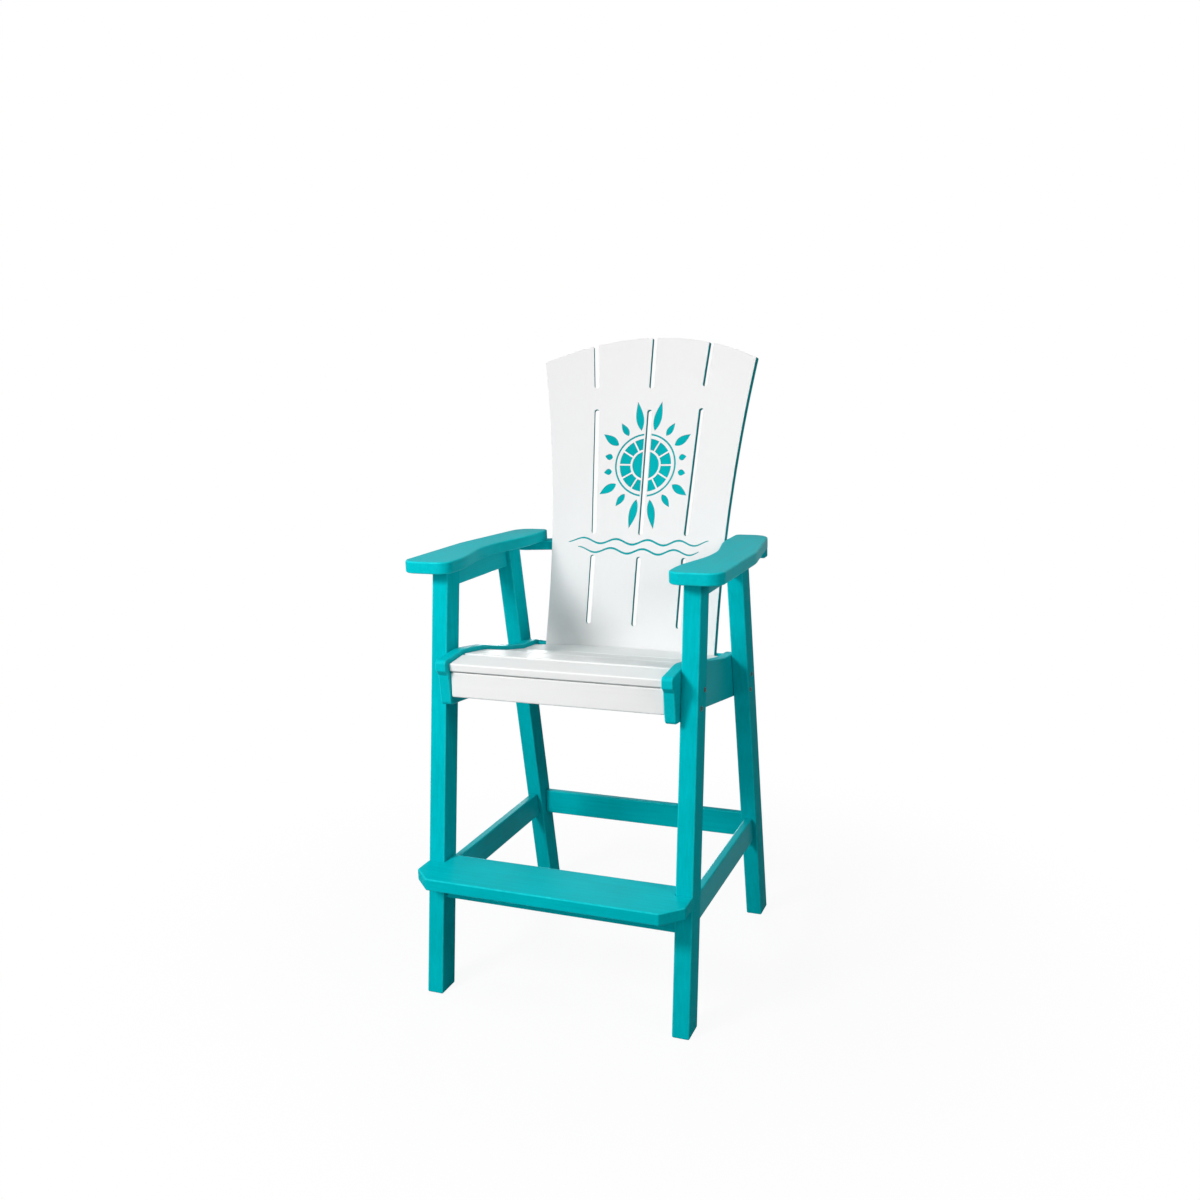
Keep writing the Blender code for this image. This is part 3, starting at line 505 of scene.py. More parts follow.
def add_piece(name, node, surface, materials, matrix):
    """One finished piece: its mesh in place, riding on the chair's one body.

    Its normals are the surface's own, or if it has none, smooth between sharp edges.
    """
    turn = matrix[:3, :3].T
    mesh = bpy.data.meshes.new(name)
    mesh.from_pydata((surface.points @ turn + matrix[:3, 3]).tolist(), [], surface.faces)
    # The accent attribute holds the share of edge wear with painted highlight, and the screws'
    # painted socket shade
    accent = mesh.attributes.new("accent", "FLOAT", "POINT")
    accent.data.foreach_set("value", surface.wear_and_painted_light.astype(np.float32))
    mesh.polygons.foreach_set("use_smooth", np.ones(len(mesh.polygons), bool))
    for material in materials:
        mesh.materials.append(material)
    finish = np.concatenate(surface.finish).astype(np.int32)
    mesh.polygons.foreach_set("material_index", finish)
    if surface.lean is None:
        mesh.set_sharp_from_angle(angle=SHARP_ANGLE)
    else:
        mesh.normals_split_custom_set_from_vertices((surface.lean @ turn).tolist())
    mesh.update()
    obj = new_object(name, mesh)
    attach(obj, "root")
    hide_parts(node)


def pit_rings(centre, depth, face, side, around=28, steps=3):
    """Rings of a round pit in a face: a rim that turns in by a quarter circle, a wall and a floor.

    Radius is pit + rim * (1 - sin) and the depth rim * (1 - cos) over the rim. Rings come upwards.
    """
    turn = np.linspace(0, np.pi / 2, steps + 1)
    radius = np.r_[PIT_RADIUS + PIT_RIM * (1 - np.sin(turn)), PIT_RADIUS, PIT_RADIUS - PIT_FOOT]
    down = np.r_[PIT_RIM * (1 - np.cos(turn)), depth - PIT_FOOT, depth]
    tilt = np.r_[np.pi / 2 - turn, 0.0, np.pi / 2]
    angle = -2 * np.pi * np.arange(around) / around
    spoke = spokes(angle)
    flat = np.asarray(centre) + spoke[None] * radius[:, None, None]
    level = -spoke[None] * np.cos(tilt)[:, None, None]
    points, lean = raised(flat, side * (face - down)), raised(level, side * np.sin(tilt))
    return (points[::-1], lean[::-1]) if side > 0 else (points, lean)


def sawn_board(node, corners, thickness, matrix, material, edge=BOARD_EDGE,
               pits=(), pit_side=1, skew=None):
    """Board with rounded edges: rings carried round an outline, both faces filled.

    skew gives each corner a slope: its points move in v by slope * height, for cuts that lean.
    """
    if skew is not None:
        corners = np.column_stack([np.asarray(corners, float), skew])
    corners = anticlockwise(corners)
    outline, normal, owner = tangent_outline(corners[:, :3])
    inset, height, tilt = edge_rings(thickness, edge)
    points, lean = wall_grid(outline, normal, inset, height, tilt)
    if skew is not None:
        points[:, :, 1] += corners[owner, 3][None] * height[:, None]
    surface = Surface()
    wall = surface.add_rings(points, lean, wear_and_highlight_share(tilt))
    rims = {1: [wall[-1]], -1: [wall[0]]}
    for centre, depth in pits:
        points, lean = pit_rings(centre, depth, thickness / 2, pit_side)
        pit = surface.add_rings(points, lean, np.zeros(len(points)))
        floor, rim = (pit[0, ::-1], pit[-1]) if pit_side > 0 else (pit[-1], pit[0])
        surface.add_faces(floor[None])
        rims[pit_side].append(rim)
    for side, loops in rims.items():
        triangles = fill_face([surface.points[loop, :2] for loop in loops])[0]
        triangles = np.concatenate(loops)[triangles]
        surface.add_faces(triangles if side > 0 else triangles[:, ::-1])
    add_piece(node + "_board", node, surface, [material], matrix)


def rectangle(half_u, low, high, radius=BOARD_EDGE):
    """Corners of a rectangle that is centred on u = 0."""
    return [(-half_u, low, radius), (half_u, low, radius),
            (half_u, high, radius), (-half_u, high, radius)]


def add_node(tree, kind, settings=None, inputs=None):
    """Node with its settings; each input is a value or another node's output."""
    made = tree.nodes.new(kind)
    for key, value in (settings or {}).items():
        setattr(made, key, value)
    for key, value in (inputs or {}).items():
        if isinstance(value, bpy.types.NodeSocket):
            tree.links.new(value, made.inputs[key])
        else:
            made.inputs[key].default_value = value
    return made


def math_node(tree, operation, first, second):
    """Result of one sum on two values or outputs."""
    made = add_node(tree, "ShaderNodeMath", {"operation": operation}, {0: first, 1: second})
    return made.outputs[0]


def mix_colors(tree, share, first, second, **settings):
    """Second colour over the first one by a share."""
    made = add_node(tree, "ShaderNodeMix", {"data_type": "RGBA", **settings},
                    {0: share, 6: first, 7: second})
    return made.outputs[2]


def weighted(tree, base, terms):
    """base plus the sum of value * weight."""
    total = base
    for value, weight in terms:
        total = math_node(tree, "ADD", math_node(tree, "MULTIPLY", value, weight), total)
    return total


def new_group(name, inputs, outputs):
    """Empty shader node group with named sockets; returns it with its ends."""
    group = bpy.data.node_groups.new(name, "ShaderNodeTree")
    for way, sockets in (("INPUT", inputs), ("OUTPUT", outputs)):
        for label, kind in sockets:
            group.interface.new_socket(label, in_out=way, socket_type="NodeSocket" + kind)
    given, result = group.nodes.new("NodeGroupInput"), group.nodes.new("NodeGroupOutput")
    return group, given.outputs, result.inputs


def noise(tree, vector, scale, detail, roughness):
    """Noise value on a vector."""
    return add_node(tree, "ShaderNodeTexNoise", None, {
        "Vector": vector, "Scale": scale, "Detail": detail, "Roughness": roughness}).outputs["Fac"]


def board_grain_wear_and_highlight_group():
    """Finish that the boards share: drawn lines along the board, mottling, tooth, and edges
    lightened partly as wear and partly as a painted highlight.
    """
    group, given, result = new_group(
        "board_grain_wear_and_highlight",
        [("Color", "Color"), ("Edge Wear and Highlight Color", "Color"), ("Grain", "Vector"), ("Depth", "Float")],
        [("Color", "Color"), ("Roughness", "Float"), ("Height", "Float")])
    place = group.nodes.new("ShaderNodeTexCoord").outputs["Object"]
    drawn = add_node(group, "ShaderNodeVectorMath", {"operation": "MULTIPLY"},
                     {0: place, 1: given["Grain"]})
    lines = noise(group, drawn.outputs[0], *LINE_NOISE)
    mottle = noise(group, place, *MOTTLE_NOISE)
    tooth = noise(group, place, *TOOTH_NOISE)
    edge = add_node(group, "ShaderNodeAttribute", {"attribute_name": "accent"}).outputs["Fac"]
    scuffs = noise(group, place, *SCUFF_NOISE)
    # Edge mask for wear and a painted highlight: the accent share, broken up by scuff noise
    wear_and_painted_light = math_node(group, "MULTIPLY", edge, weighted(group, -0.25, [(scuffs, 1.4)]))
    shift = weighted(group, 1.0, [(math_node(group, "SUBTRACT", mottle, 0.5), given["Depth"]),
                                  (math_node(group, "SUBTRACT", lines, 0.5), given["Depth"])])
    toned = mix_colors(group, 1.0, given["Color"], shift, blend_type="MULTIPLY")
    # Rounded edges take the lighter edge colour: part wear, part painted highlight
    rubbed_and_highlit = mix_colors(group, wear_and_painted_light, toned, given["Edge Wear and Highlight Color"], clamp_factor=True)
    rough = weighted(group, 0.34, [(mottle, 0.12), (lines, 0.10), (edge, -0.07)])
    height = weighted(group, 0.0, [(tooth, 0.5), (lines, 0.5)])
    for label, value in (("Color", rubbed_and_highlit), ("Roughness", rough), ("Height", height)):
        group.links.new(value, result[label])
    return group


def new_material(name, specular, metallic=0.0):
    """Material with a principled shader; returns it, its tree and the shader."""
    material = bpy.data.materials.new(name)
    material.use_nodes = True
    shader = material.node_tree.nodes["Principled BSDF"]
    shader.inputs["Specular IOR Level"].default_value = specular
    shader.inputs["Metallic"].default_value = metallic
    return material, material.node_tree, shader


def board_material(name, color, edge_highlight_color, grain, depth, bump=0.16, specular=0.012):
    """Satin board plastic with its drawn lines along the axis whose grain number is low, and edges
    lightened partly as wear and partly as a painted highlight.
    """
    material, tree, shader = new_material(name, specular)
    finish = add_node(tree, "ShaderNodeGroup", {"node_tree": BOARD_GRAIN_WEAR_AND_HIGHLIGHT}, {
        "Color": color, "Edge Wear and Highlight Color": edge_highlight_color, "Grain": grain, "Depth": depth})
    tree.links.new(finish.outputs["Color"], shader.inputs["Base Color"])
    tree.links.new(finish.outputs["Roughness"], shader.inputs["Roughness"])
    relief = add_node(tree, "ShaderNodeBump", None, {
        "Strength": bump, "Distance": 0.0005, "Height": finish.outputs["Height"]})
    tree.links.new(relief.outputs["Normal"], shader.inputs["Normal"])
    return material


def screw_material():
    """Plain steel with a faint turned unevenness, and its driver hollow painted dark as shade."""
    material, tree, shader = new_material("screw_steel", specular=0.5, metallic=1.0)
    place = tree.nodes.new("ShaderNodeTexCoord").outputs["Object"]
    smudge = noise(tree, place, *SMUDGE_NOISE)
    socket = add_node(tree, "ShaderNodeAttribute", {"attribute_name": "accent"}).outputs["Fac"]
    tone = mix_colors(tree, smudge, STEEL_DARK, STEEL_LIGHT)
    # The driver hollow is painted near black as its shade
    tone = mix_colors(tree, socket, tone, SOCKET_PAINTED_SHADE)
    tree.links.new(tone, shader.inputs["Base Color"])
    tree.links.new(weighted(tree, 0.26, [(smudge, 0.2)]), shader.inputs["Roughness"])
    return material


BOARD_GRAIN_WEAR_AND_HIGHLIGHT = board_grain_wear_and_highlight_group()
TEAL_X = board_material("teal_board_across", TEAL, TEAL_HIGHLIT_EDGE, ALONG_X, 0.30, specular=0.004)
TEAL_Y = board_material("teal_board_along", TEAL, TEAL_HIGHLIT_EDGE, ALONG_Y, 0.28, specular=0.025)
TEAL_Z = board_material("teal_board_upright", TEAL, TEAL_HIGHLIT_EDGE, ALONG_Z, 0.32, specular=0.003)
WHITE_X = board_material("white_board_across", WHITE, WHITE_HIGHLIT_EDGE, ALONG_X, 0.045)
WHITE_Z = board_material("white_sheet_skin", SHEET_WHITE, WHITE_HIGHLIT_EDGE, ALONG_Z, 0.03)
CORE = board_material("teal_sheet_core", CORE_TEAL, CORE_TEAL, EVEN_GRAIN, 0.45, 0.3, 0.0)
STEEL = screw_material()


def leg_screw_places(which):
    """Side view (y, z) of a leg's two screws, upper first, staggered about its middle line."""
    face, run, shift = {"front": (front_leg_front, FRONT_LEG_RUN, LEG_SCREW_SHIFT),
                        "rear": (rear_leg_front, REAR_LEG_RUN, -LEG_SCREW_SHIFT)}[which]
    middle = face(SEAT_HEIGHT - LEG_SCREW_DEPTH) + run / 2
    way = np.array((1, -1))
    z = np.interp(middle, KNOTS[:, 0], KNOTS[:, 1]) - LEG_SCREW_DEPTH + way * LEG_SCREW_RISE / 2
    return np.stack([face(z) + run / 2 + shift + way * LEG_SCREW_STAGGER, z], axis=1)


def turned_screw(node, matrix, length, around=48):
    """Screw as one turned surface about w: domed head, shank and tip, with a driver hollow.

    Over the head the height falls with the cube of the radius, less a hollow that ends smoothly
    at socket * (1 + swing * cos(lobes * angle)) and is painted dark as its shade.
    """
    angle = 2 * np.pi * np.arange(around) / around
    head = np.linspace(HEAD_START, HEAD_RADIUS, HEAD_RINGS)
    seat, tip = LEG_SCREW_PROUD - HEAD_HEIGHT, LEG_SCREW_PROUD - length
    radius = np.r_[head, HEAD_RADIUS, SHANK_RADIUS, SHANK_RADIUS, SHANK_RADIUS / 2]
    fall = np.r_[LEG_SCREW_PROUD - HEAD_FALL * (head / HEAD_RADIUS) ** 3,
                 seat, seat, tip + 2 * SHANK_RADIUS, tip + SHANK_RADIUS]
    lobe = SOCKET_RADIUS * (1 + SOCKET_SWING * np.cos(SOCKET_LOBES * angle))
    share = np.clip((lobe[None] - radius[:, None]) / SOCKET_EDGE, 0, 1)
    on_head = (np.arange(len(radius)) < len(head))[:, None]
    hollow = share * share * (3 - 2 * share) * on_head
    height = fall[:, None] - SOCKET_DEPTH * hollow
    flat = radius[:, None, None] * spokes(angle)
    points = np.concatenate([flat, height[:, :, None]], axis=2)
    ends = [(0, 0, height[0, 0]), (0, 0, tip)]
    surface = Surface()
    surface.points, surface.lean = np.concatenate([points[::-1].reshape(-1, 3), ends]), None
    # The hollow's share marks where the head is painted dark as shade
    surface.wear_and_painted_light = np.r_[hollow[::-1].ravel(), 1, 0]
    rows = np.arange(len(radius) * around).reshape(-1, around)
    low, top = rows[0], rows[-1]
    surface.add_faces(ring_faces(rows))
    surface.add_faces(np.stack([top, np.roll(top, -1), np.full(around, rows.size)], axis=1))
    surface.add_faces(np.stack([np.roll(low, -1), low, np.full(around, rows.size + 1)], axis=1))
    add_piece(node + "_turned", node, surface, [STEEL], matrix)


def build_legs():
    """Four raked legs with their screws: parallelograms in side view."""
    height = ARM_BOTTOM - CLEAR
    length = LEG_WIDTH + CLEAR + LEG_SCREW_PROUD + SCREW_BITE
    depth = HEAD_HEIGHT - LEG_SCREW_PROUD + PIT_RIM
    for side, sign in SIDES:
        for which, foot, run, rake in (("front", 0, FRONT_LEG_RUN, FRONT_TAN),
                                       ("rear", FOOT_RUN, REAR_LEG_RUN, -REAR_TAN)):
            lean = height * rake
            corners = [(foot, 0, BOARD_EDGE), (foot + run, 0, BOARD_EDGE),
                       (foot + run + lean, height, BOARD_EDGE), (foot + lean, height, BOARD_EDGE)]
            places = leg_screw_places(which)
            sawn_board("%s_leg_%s" % (which, side), corners, LEG_WIDTH,
                       upright_frame(sign * LEG_CENTRE), TEAL_Z,
                       pits=[(place, depth) for place in places], pit_side=sign)
            for level, place in zip(("upper", "lower"), places):
                matrix = set_frame((0, sign, 0), (0, 0, 1), (sign, 0, 0),
                                   (sign * LEG_SPREAD / 2, *place))
                turned_screw("leg_screw_%s_%s_%s" % (which, side, level), matrix, length)


def meet(point_a, along_a, point_b, along_b):
    """Crossing point of two lines in a plane."""
    share = np.linalg.solve(np.stack([along_a, -along_b], axis=1), point_b - point_a)
    return point_a + along_a * share[0]


def seat_rail_corners():
    """Side view (y, z, radius) of a seat rail: nose, seat line, tail, belly and set-back front."""
    front = KNOTS[0]
    nose = front[0] - NOSE_REACH
    top = front[1] + RAIL_PROUD - NOSE_DROP
    lip = nose + LIP_STEP
    proud = KNOTS + (0, RAIL_PROUD)
    along = np.array((math.cos(SLAT_TILT[-1]), math.sin(SLAT_TILT[-1])))
    crest = meet(proud[-2], along, KNOTS[-1] + UP_PANEL * RAIL_PROUD / 2, SQUARE_TO_PANEL)
    tail = crest + SQUARE_TO_PANEL * RAIL_TAIL
    heel = tail - UP_PANEL * RAIL_DEPTH_REAR
    return [
        (nose, top, NOSE_TOP_ROUND),
        *((*place, radius) for place, radius in zip((*proud[1:-1], crest), RAIL_TOP_ROUNDS)),
        (*tail, RAIL_TAIL_ROUND), (*heel, RAIL_TAIL_ROUND),
        (KNOTS[2][0], KNOTS[2][1] - RAIL_DEPTH_MID, RAIL_BELLY_ROUND),
        (lip + FRONT_SLOPE, front[1] - RAIL_DEPTH_FRONT, TOE_ROUND),
        (lip, top - NOSE_HEIGHT - LIP_STEP, LIP_ROUND), (nose, top - NOSE_HEIGHT, NOSE_LOW_ROUND),
    ]


def arc_corner(half, tangent, end, side, room=ARC_ROOM):
    """Corner at u = 0 whose arc joins two ends at +-half where its slope is +-tangent.

    Both tangents meet on the middle line, half * tangent beyond the ends; the arc's radius is the
    tangents' length, less some room for the end corners, divided by the slope.
    """
    reach = half * math.hypot(1, tangent) - room
    return 0.0, end + side * half * tangent, reach / tangent


def build_seat():
    """Seat rails, slats and apron."""
    for side, sign in SIDES:
        sawn_board("seat_rail_" + side, seat_rail_corners(), RAIL_THICK,
                   upright_frame(sign * (RAIL_OUTER - RAIL_THICK / 2)), TEAL_Y)
    fold = np.maximum(0, SLAT_TILT[:-1] - SLAT_TILT[1:])
    widths = SLAT_RUN[:-1] - SLAT_GAP - SLAT_THICK * np.tan(fold)
    for index, tilt in enumerate(SLAT_TILT):
        c, s = math.cos(tilt), math.sin(tilt)
        middle = KNOTS[index] - np.array((-s, c)) * SLAT_THICK / 2
        matrix = set_frame((1, 0, 0), (0, c, s), (0, -s, c), (0, *middle))
        if index < len(widths):
            corners, skew = rectangle(SEAT_HALF, 0, widths[index]), None
        else:
            corners, skew = last_slat_cut(index, LEAN + tilt)
        sawn_board("seat_slat_%d" % (index + 1), corners, SLAT_THICK, matrix, WHITE_X,
                   skew=skew)
    apron_top = SEAT_HEIGHT - SLAT_THICK - APRON_GAP
    sawn_board("seat_apron", rectangle(SEAT_HALF, apron_top - APRON_HEIGHT, apron_top), APRON_THICK,
               cross_frame(KNOTS[0][0] + APRON_SET_BACK + APRON_THICK / 2), WHITE_X)


def last_slat_cut(index, cut):
    """Corners and leaning cuts of the last slat, whose rear edge follows the hollow panel."""
    hollow = math.sqrt((PANEL_RADIUS - SLAT_GAP) ** 2 - SEAT_HALF ** 2)
    ahead = PANEL_RADIUS - hollow
    end = SLAT_RUN[index] - (ahead + SLAT_THICK / 2 * math.sin(cut)) / math.cos(cut)
    corners = rectangle(SEAT_HALF, 0, end)
    corners.insert(3, arc_corner(SEAT_HALF, SEAT_HALF / hollow / math.cos(cut), end, 1))
    slope = math.tan(cut)
    return corners, [0, 0, slope, slope, slope]


def side_rail(node, sign, low, high):
    """Rail between a front leg and a rear leg, its ends cut to their rakes."""
    ends = [(front_leg_rear(low) + CLEAR, low), (rear_leg_front(low) - CLEAR, low),
            (rear_leg_front(high) - CLEAR, high), (front_leg_rear(high) + CLEAR, high)]
    sawn_board(node, [(y, z, BOARD_EDGE) for y, z in ends], STRETCHER_THICK,
               upright_frame(sign * LEG_CENTRE), TEAL_Y)


def build_arms():
    """Paddle arms with a waist inside and a taper outside, and the rails under them."""
    top = ARM_BOTTOM - CLEAR
    front = front_leg_front(ARM_BOTTOM) - ARM_OVERHANG
    rear = panel_back_at(top - BACK_RAIL_THICK / 2) - BACK_RAIL_HORN + BACK_RAIL_LAP
    length = rear - front
    outer = LEG_SPREAD / 2 + ARM_REACH
    inner = outer - ARM_WIDTH
    waist = inner + ARM_WAIST
    turns = front + np.array(ARM_WAIST_TURNS) * length
    corners = np.array([
        (outer, front, ARM_FRONT_ROUND), (outer, front + ARM_TAPER_START * length, ARM_CURVE),
        (outer - ARM_TAPER, rear, ARM_REAR_ROUND), (inner, rear, ARM_REAR_CORNER),
        (inner, turns[0], ARM_CURVE), (waist, turns[1], ARM_CURVE),
        (waist, turns[2], ARM_CURVE), (inner, turns[3], ARM_CURVE),
        (inner, front, ARM_INNER_ROUND)])
    for side, sign in SIDES:
        sawn_board("arm_" + side, corners * (sign, 1, 1), ARM_THICK,
                   level_frame(ARM_TOP - ARM_THICK / 2), TEAL_Y, edge=ARM_EDGE)
        side_rail("arm_rail_" + side, sign, top - ARM_RAIL_HEIGHT, top)


def build_base():
    """Stretchers between the legs, and the footrest that is notched round the front pair."""
    for side, sign in SIDES:
        side_rail("side_stretcher_" + side, sign, STRETCHER_LOW, STRETCHER_TOP)
    half = LEG_INNER - CLEAR
    front_top = FOOTREST_TOP - FOOTREST_THICK - CLEAR
    for node, leg, inset, top in (
            ("rear_stretcher", rear_leg_front, REAR_STRETCHER_INSET, STRETCHER_TOP),
            ("front_stretcher", front_leg_front, FRONT_STRETCHER_INSET, front_top)):
        y = leg((STRETCHER_LOW + top) / 2) + inset + STRETCHER_THICK / 2
        sawn_board(node, rectangle(half, STRETCHER_LOW, top), STRETCHER_THICK,
                   cross_frame(y), TEAL_X)

    z = FOOTREST_TOP - FOOTREST_THICK / 2
    wide = LEG_SPREAD / 2
    notch, rear = front_leg_front(z) - CLEAR, FRONT_END + FOOTREST_DEPTH
    right = np.array([
        (wide - FOOTREST_CORNER, FRONT_END, FOOTREST_ROUND),
        (wide, FRONT_END + FOOTREST_CORNER, FOOTREST_ROUND),
        (wide, notch, BOARD_EDGE), (half, notch, BOARD_EDGE), (half, rear, BOARD_EDGE)])
    slope = np.array((0, 0, FRONT_TAN, FRONT_TAN, 0))
    corners = np.concatenate([right, right[::-1] * (-1, 1, 1)])
    sawn_board("footrest", corners, FOOTREST_THICK, level_frame(z), TEAL_X,
               skew=np.r_[slope, slope[::-1]])


def build_back_rails():
    """Rails behind the panel: a crescent under the arms' ends, a straight one at the foot."""
    z = ARM_BOTTOM - CLEAR - BACK_RAIL_THICK / 2
    back = panel_back_at(z)
    half = LEG_SPREAD / 2 + BACK_RAIL_END
    bow = PANEL_RADIUS + PANEL_THICK + BACK_RAIL_DEPTH
    deep = math.sqrt(bow ** 2 - half ** 2)
    rear_end = back + BACK_RAIL_DEPTH - bow + deep
    rear_apex = arc_corner(half, half / deep, rear_end, 1, BACK_RAIL_ROOM)
    front = back - BACK_RAIL_HORN
    face = PANEL_RADIUS + PANEL_THICK + CLEAR
    ahead = BACK_RAIL_HORN * math.cos(LEAN) - PANEL_THICK
    horn = math.sqrt(face ** 2 - (PANEL_RADIUS - ahead) ** 2)
    front_apex = arc_corner(horn, horn / (PANEL_RADIUS - ahead) / math.cos(LEAN), front, 1)
    corners = [
        (half, front, BOARD_EDGE), (half, rear_end, BACK_RAIL_ROUND), rear_apex,
        (-half, rear_end, BACK_RAIL_ROUND), (-half, front, BOARD_EDGE),
        (-horn, front, BOARD_EDGE), front_apex, (horn, front, BOARD_EDGE)]
    slope = math.tan(LEAN)
    sawn_board("back_rail_upper", corners, BACK_RAIL_THICK, level_frame(z), TEAL_X,
               skew=[0, 0, 0, 0, 0, slope, slope, slope])

    deep = math.sqrt(face ** 2 - SEAT_HALF ** 2)
    end = PANEL_RADIUS - deep
    corners = rectangle(SEAT_HALF, -PANEL_THICK - BACK_RAIL_DEPTH, end)
    corners.insert(3, arc_corner(SEAT_HALF, SEAT_HALF / deep, end, -1))
    matrix = set_frame((1, 0, 0), (0, *-SQUARE_TO_PANEL), (0, *-UP_PANEL),
                       (0, *(KNOTS[-1] - UP_PANEL * BACK_RAIL_THICK / 2)))
    sawn_board("back_rail_lower", corners, BACK_RAIL_THICK, matrix, TEAL_X)


def panel_half_width(s):
    """Half the panel's width at height s: upright to the waist, then an arc outwards."""
    above = np.maximum(0, s - PANEL_WAIST)
    return PANEL_WAIST_HALF + FLARE_RADIUS - np.sqrt(FLARE_RADIUS ** 2 - above ** 2)


def slot_frame(share, low, high):
    """Ends of a slot's middle line, its direction and its sideways direction."""
    ends = np.array([(share * panel_half_width(s), s) for s in (low, high)])
    along = unit(ends[1] - ends[0])
    return ends, along, np.array((along[1], -along[0]))


def closed_slot(share, low, high, grow=0.0):
    """Corners of a round-ended slot, clockwise, grown all round by a margin."""
    ends, along, across = slot_frame(share, low, high)
    half = SLOT_WIDTH / 2 + grow
    start, stop = ends[0] - along * grow, ends[1] + along * grow
    return [(*(end + across * way * half), SLOT_END_SHARE * half)
            for end, way in ((start, -1), (stop, -1), (stop, 1), (start, 1))]


def arch_crossing(foot, along):
    """Point where a line from foot crosses the panel's arch: a line meets a circle."""
    gap = foot - ARCH_CENTRE
    b = gap @ along
    return foot + along * (-b + math.sqrt(b * b - gap @ gap + ARCH_RADIUS * ARCH_RADIUS))


def arch_corner(start, stop):
    """Corner whose arc follows the arch between two of its points, with room for their corners."""
    middle = unit(unit(start - ARCH_CENTRE) + unit(stop - ARCH_CENTRE))
    half = math.acos(min(1.0, float(unit(start - ARCH_CENTRE) @ middle)))
    room = 1 - ARCH_ROOM / (ARCH_RADIUS * math.tan(half))
    return (*(ARCH_CENTRE + middle * ARCH_RADIUS / math.cos(half)), ARCH_RADIUS * room)


def panel_corners():
    """Front view (x, s, radius) of the panel, anticlockwise: foot, flare, arch with open slots."""
    reach = FLARE_RADIUS * PANEL_FLARE / PANEL_RISE
    bend = (PANEL_WAIST_HALF, PANEL_WAIST + reach, FLARE_RADIUS * (1 - FLARE_ROOM / reach))
    right = np.array((PANEL_TOP_HALF, PANEL_SHOULDER))
    left = np.array((-PANEL_TOP_HALF, PANEL_SHOULDER))
    corners = [(-PANEL_WAIST_HALF, -PANEL_FOOT, PANEL_CORNER),
               (PANEL_WAIST_HALF, -PANEL_FOOT, PANEL_CORNER), bend, (*right, PANEL_CORNER)]
    start = right
    for share in SLOT_SHARES[::-1]:
        ends, along, across = slot_frame(share, SLOT_TOP_START, PANEL_TOP)
        feet = [ends[0] + across * way * SLOT_WIDTH / 2 for way in (1, -1)]
        lips = [arch_crossing(foot, along) for foot in feet]
        turn = SLOT_END_SHARE * SLOT_WIDTH / 2
        corners += [arch_corner(start, lips[0]), (*lips[0], SLOT_LIP), (*feet[0], turn),
                    (*feet[1], turn), (*lips[1], SLOT_LIP)]
        start = lips[1]
    return corners + [arch_corner(start, left), (*left, PANEL_CORNER), (-bend[0], *bend[1:])]


def circle(radius, around=96):
    """Points of a circle round the sun's middle, anticlockwise."""
    angle = 2 * np.pi * np.arange(around) / around
    return SUN_MIDDLE + radius * spokes(angle)


def sun_ray(angle, far, half_width, steps=14):
    """Leaf-shaped ray, anticlockwise: its half width goes as sin(pi * t ** 0.8) along it."""
    t = np.linspace(0, 1, steps)
    width = half_width * np.sin(np.pi * t ** 0.8)
    reach = RAY_START + (far - RAY_START) * t
    along, across = np.r_[reach, reach[-2:0:-1]], np.r_[-width, width[-2:0:-1]]
    turn = np.array(((math.cos(angle), math.sin(angle)), (-math.sin(angle), math.cos(angle))))
    return SUN_MIDDLE + np.stack([along, across], axis=1) @ turn


def ring_patch(index, steps=8):
    """Patch of a divided ring: two arcs, drawn in so that the joints keep one width."""
    near, far = PATCH_RING
    pitch = 2 * np.pi / SUN_PATCHES
    t = np.linspace(-1, 1, steps)
    low = index * pitch + t * (pitch / 2 - PATCH_JOINT / near)
    high = index * pitch + t[::-1] * (pitch / 2 - PATCH_JOINT / far)
    angle = np.r_[high[::-1], low[::-1]]
    radius = np.repeat((far, near), steps)
    return SUN_MIDDLE + radius[:, None] * spokes(angle)


def wave_band(level, half, phase, steps=120):
    """Wavy band, anticlockwise: level + swing * sin, its width tapering as a fourth root."""
    x = np.linspace(-half, half, steps)
    line = level + WAVE_SWING * np.sin(2 * np.pi * x / WAVE_LENGTH + phase)
    thick = WAVE_WIDTH / 2 * np.sqrt(np.sqrt(1 - (0.999 * x / half) ** 2))
    low, high = np.stack([x, line - thick], axis=1), np.stack([x, line + thick], axis=1)
    return np.concatenate([low, high[::-1]])


def panel_motifs():
    """Loops of the sun and waves that are cut into the face."""
    loops = [circle(radius) for radius in (SUN_RADIUS, *SUN_RINGS)]
    loops += [ring_patch(k + 0.5) for k in range(SUN_PATCHES)]
    for k in range(SUN_RAYS):
        step = k % (SUN_RAYS // 2)
        is_long = min(step, SUN_RAYS // 2 - 1 - step) % 2 == 1
        angle = 2 * np.pi * (k + 0.5) / SUN_RAYS
        far = 1 / math.hypot(math.cos(angle) / SUN_REACH[0], math.sin(angle) / SUN_REACH[1])
        if is_long:
            loops.append(sun_ray(angle, far, LONG_RAY_HALF))
        else:
            loops.append(sun_ray(angle, far * SHORT_RAY, SHORT_RAY_HALF))
    return loops + [wave_band(*wave) for wave in WAVES]


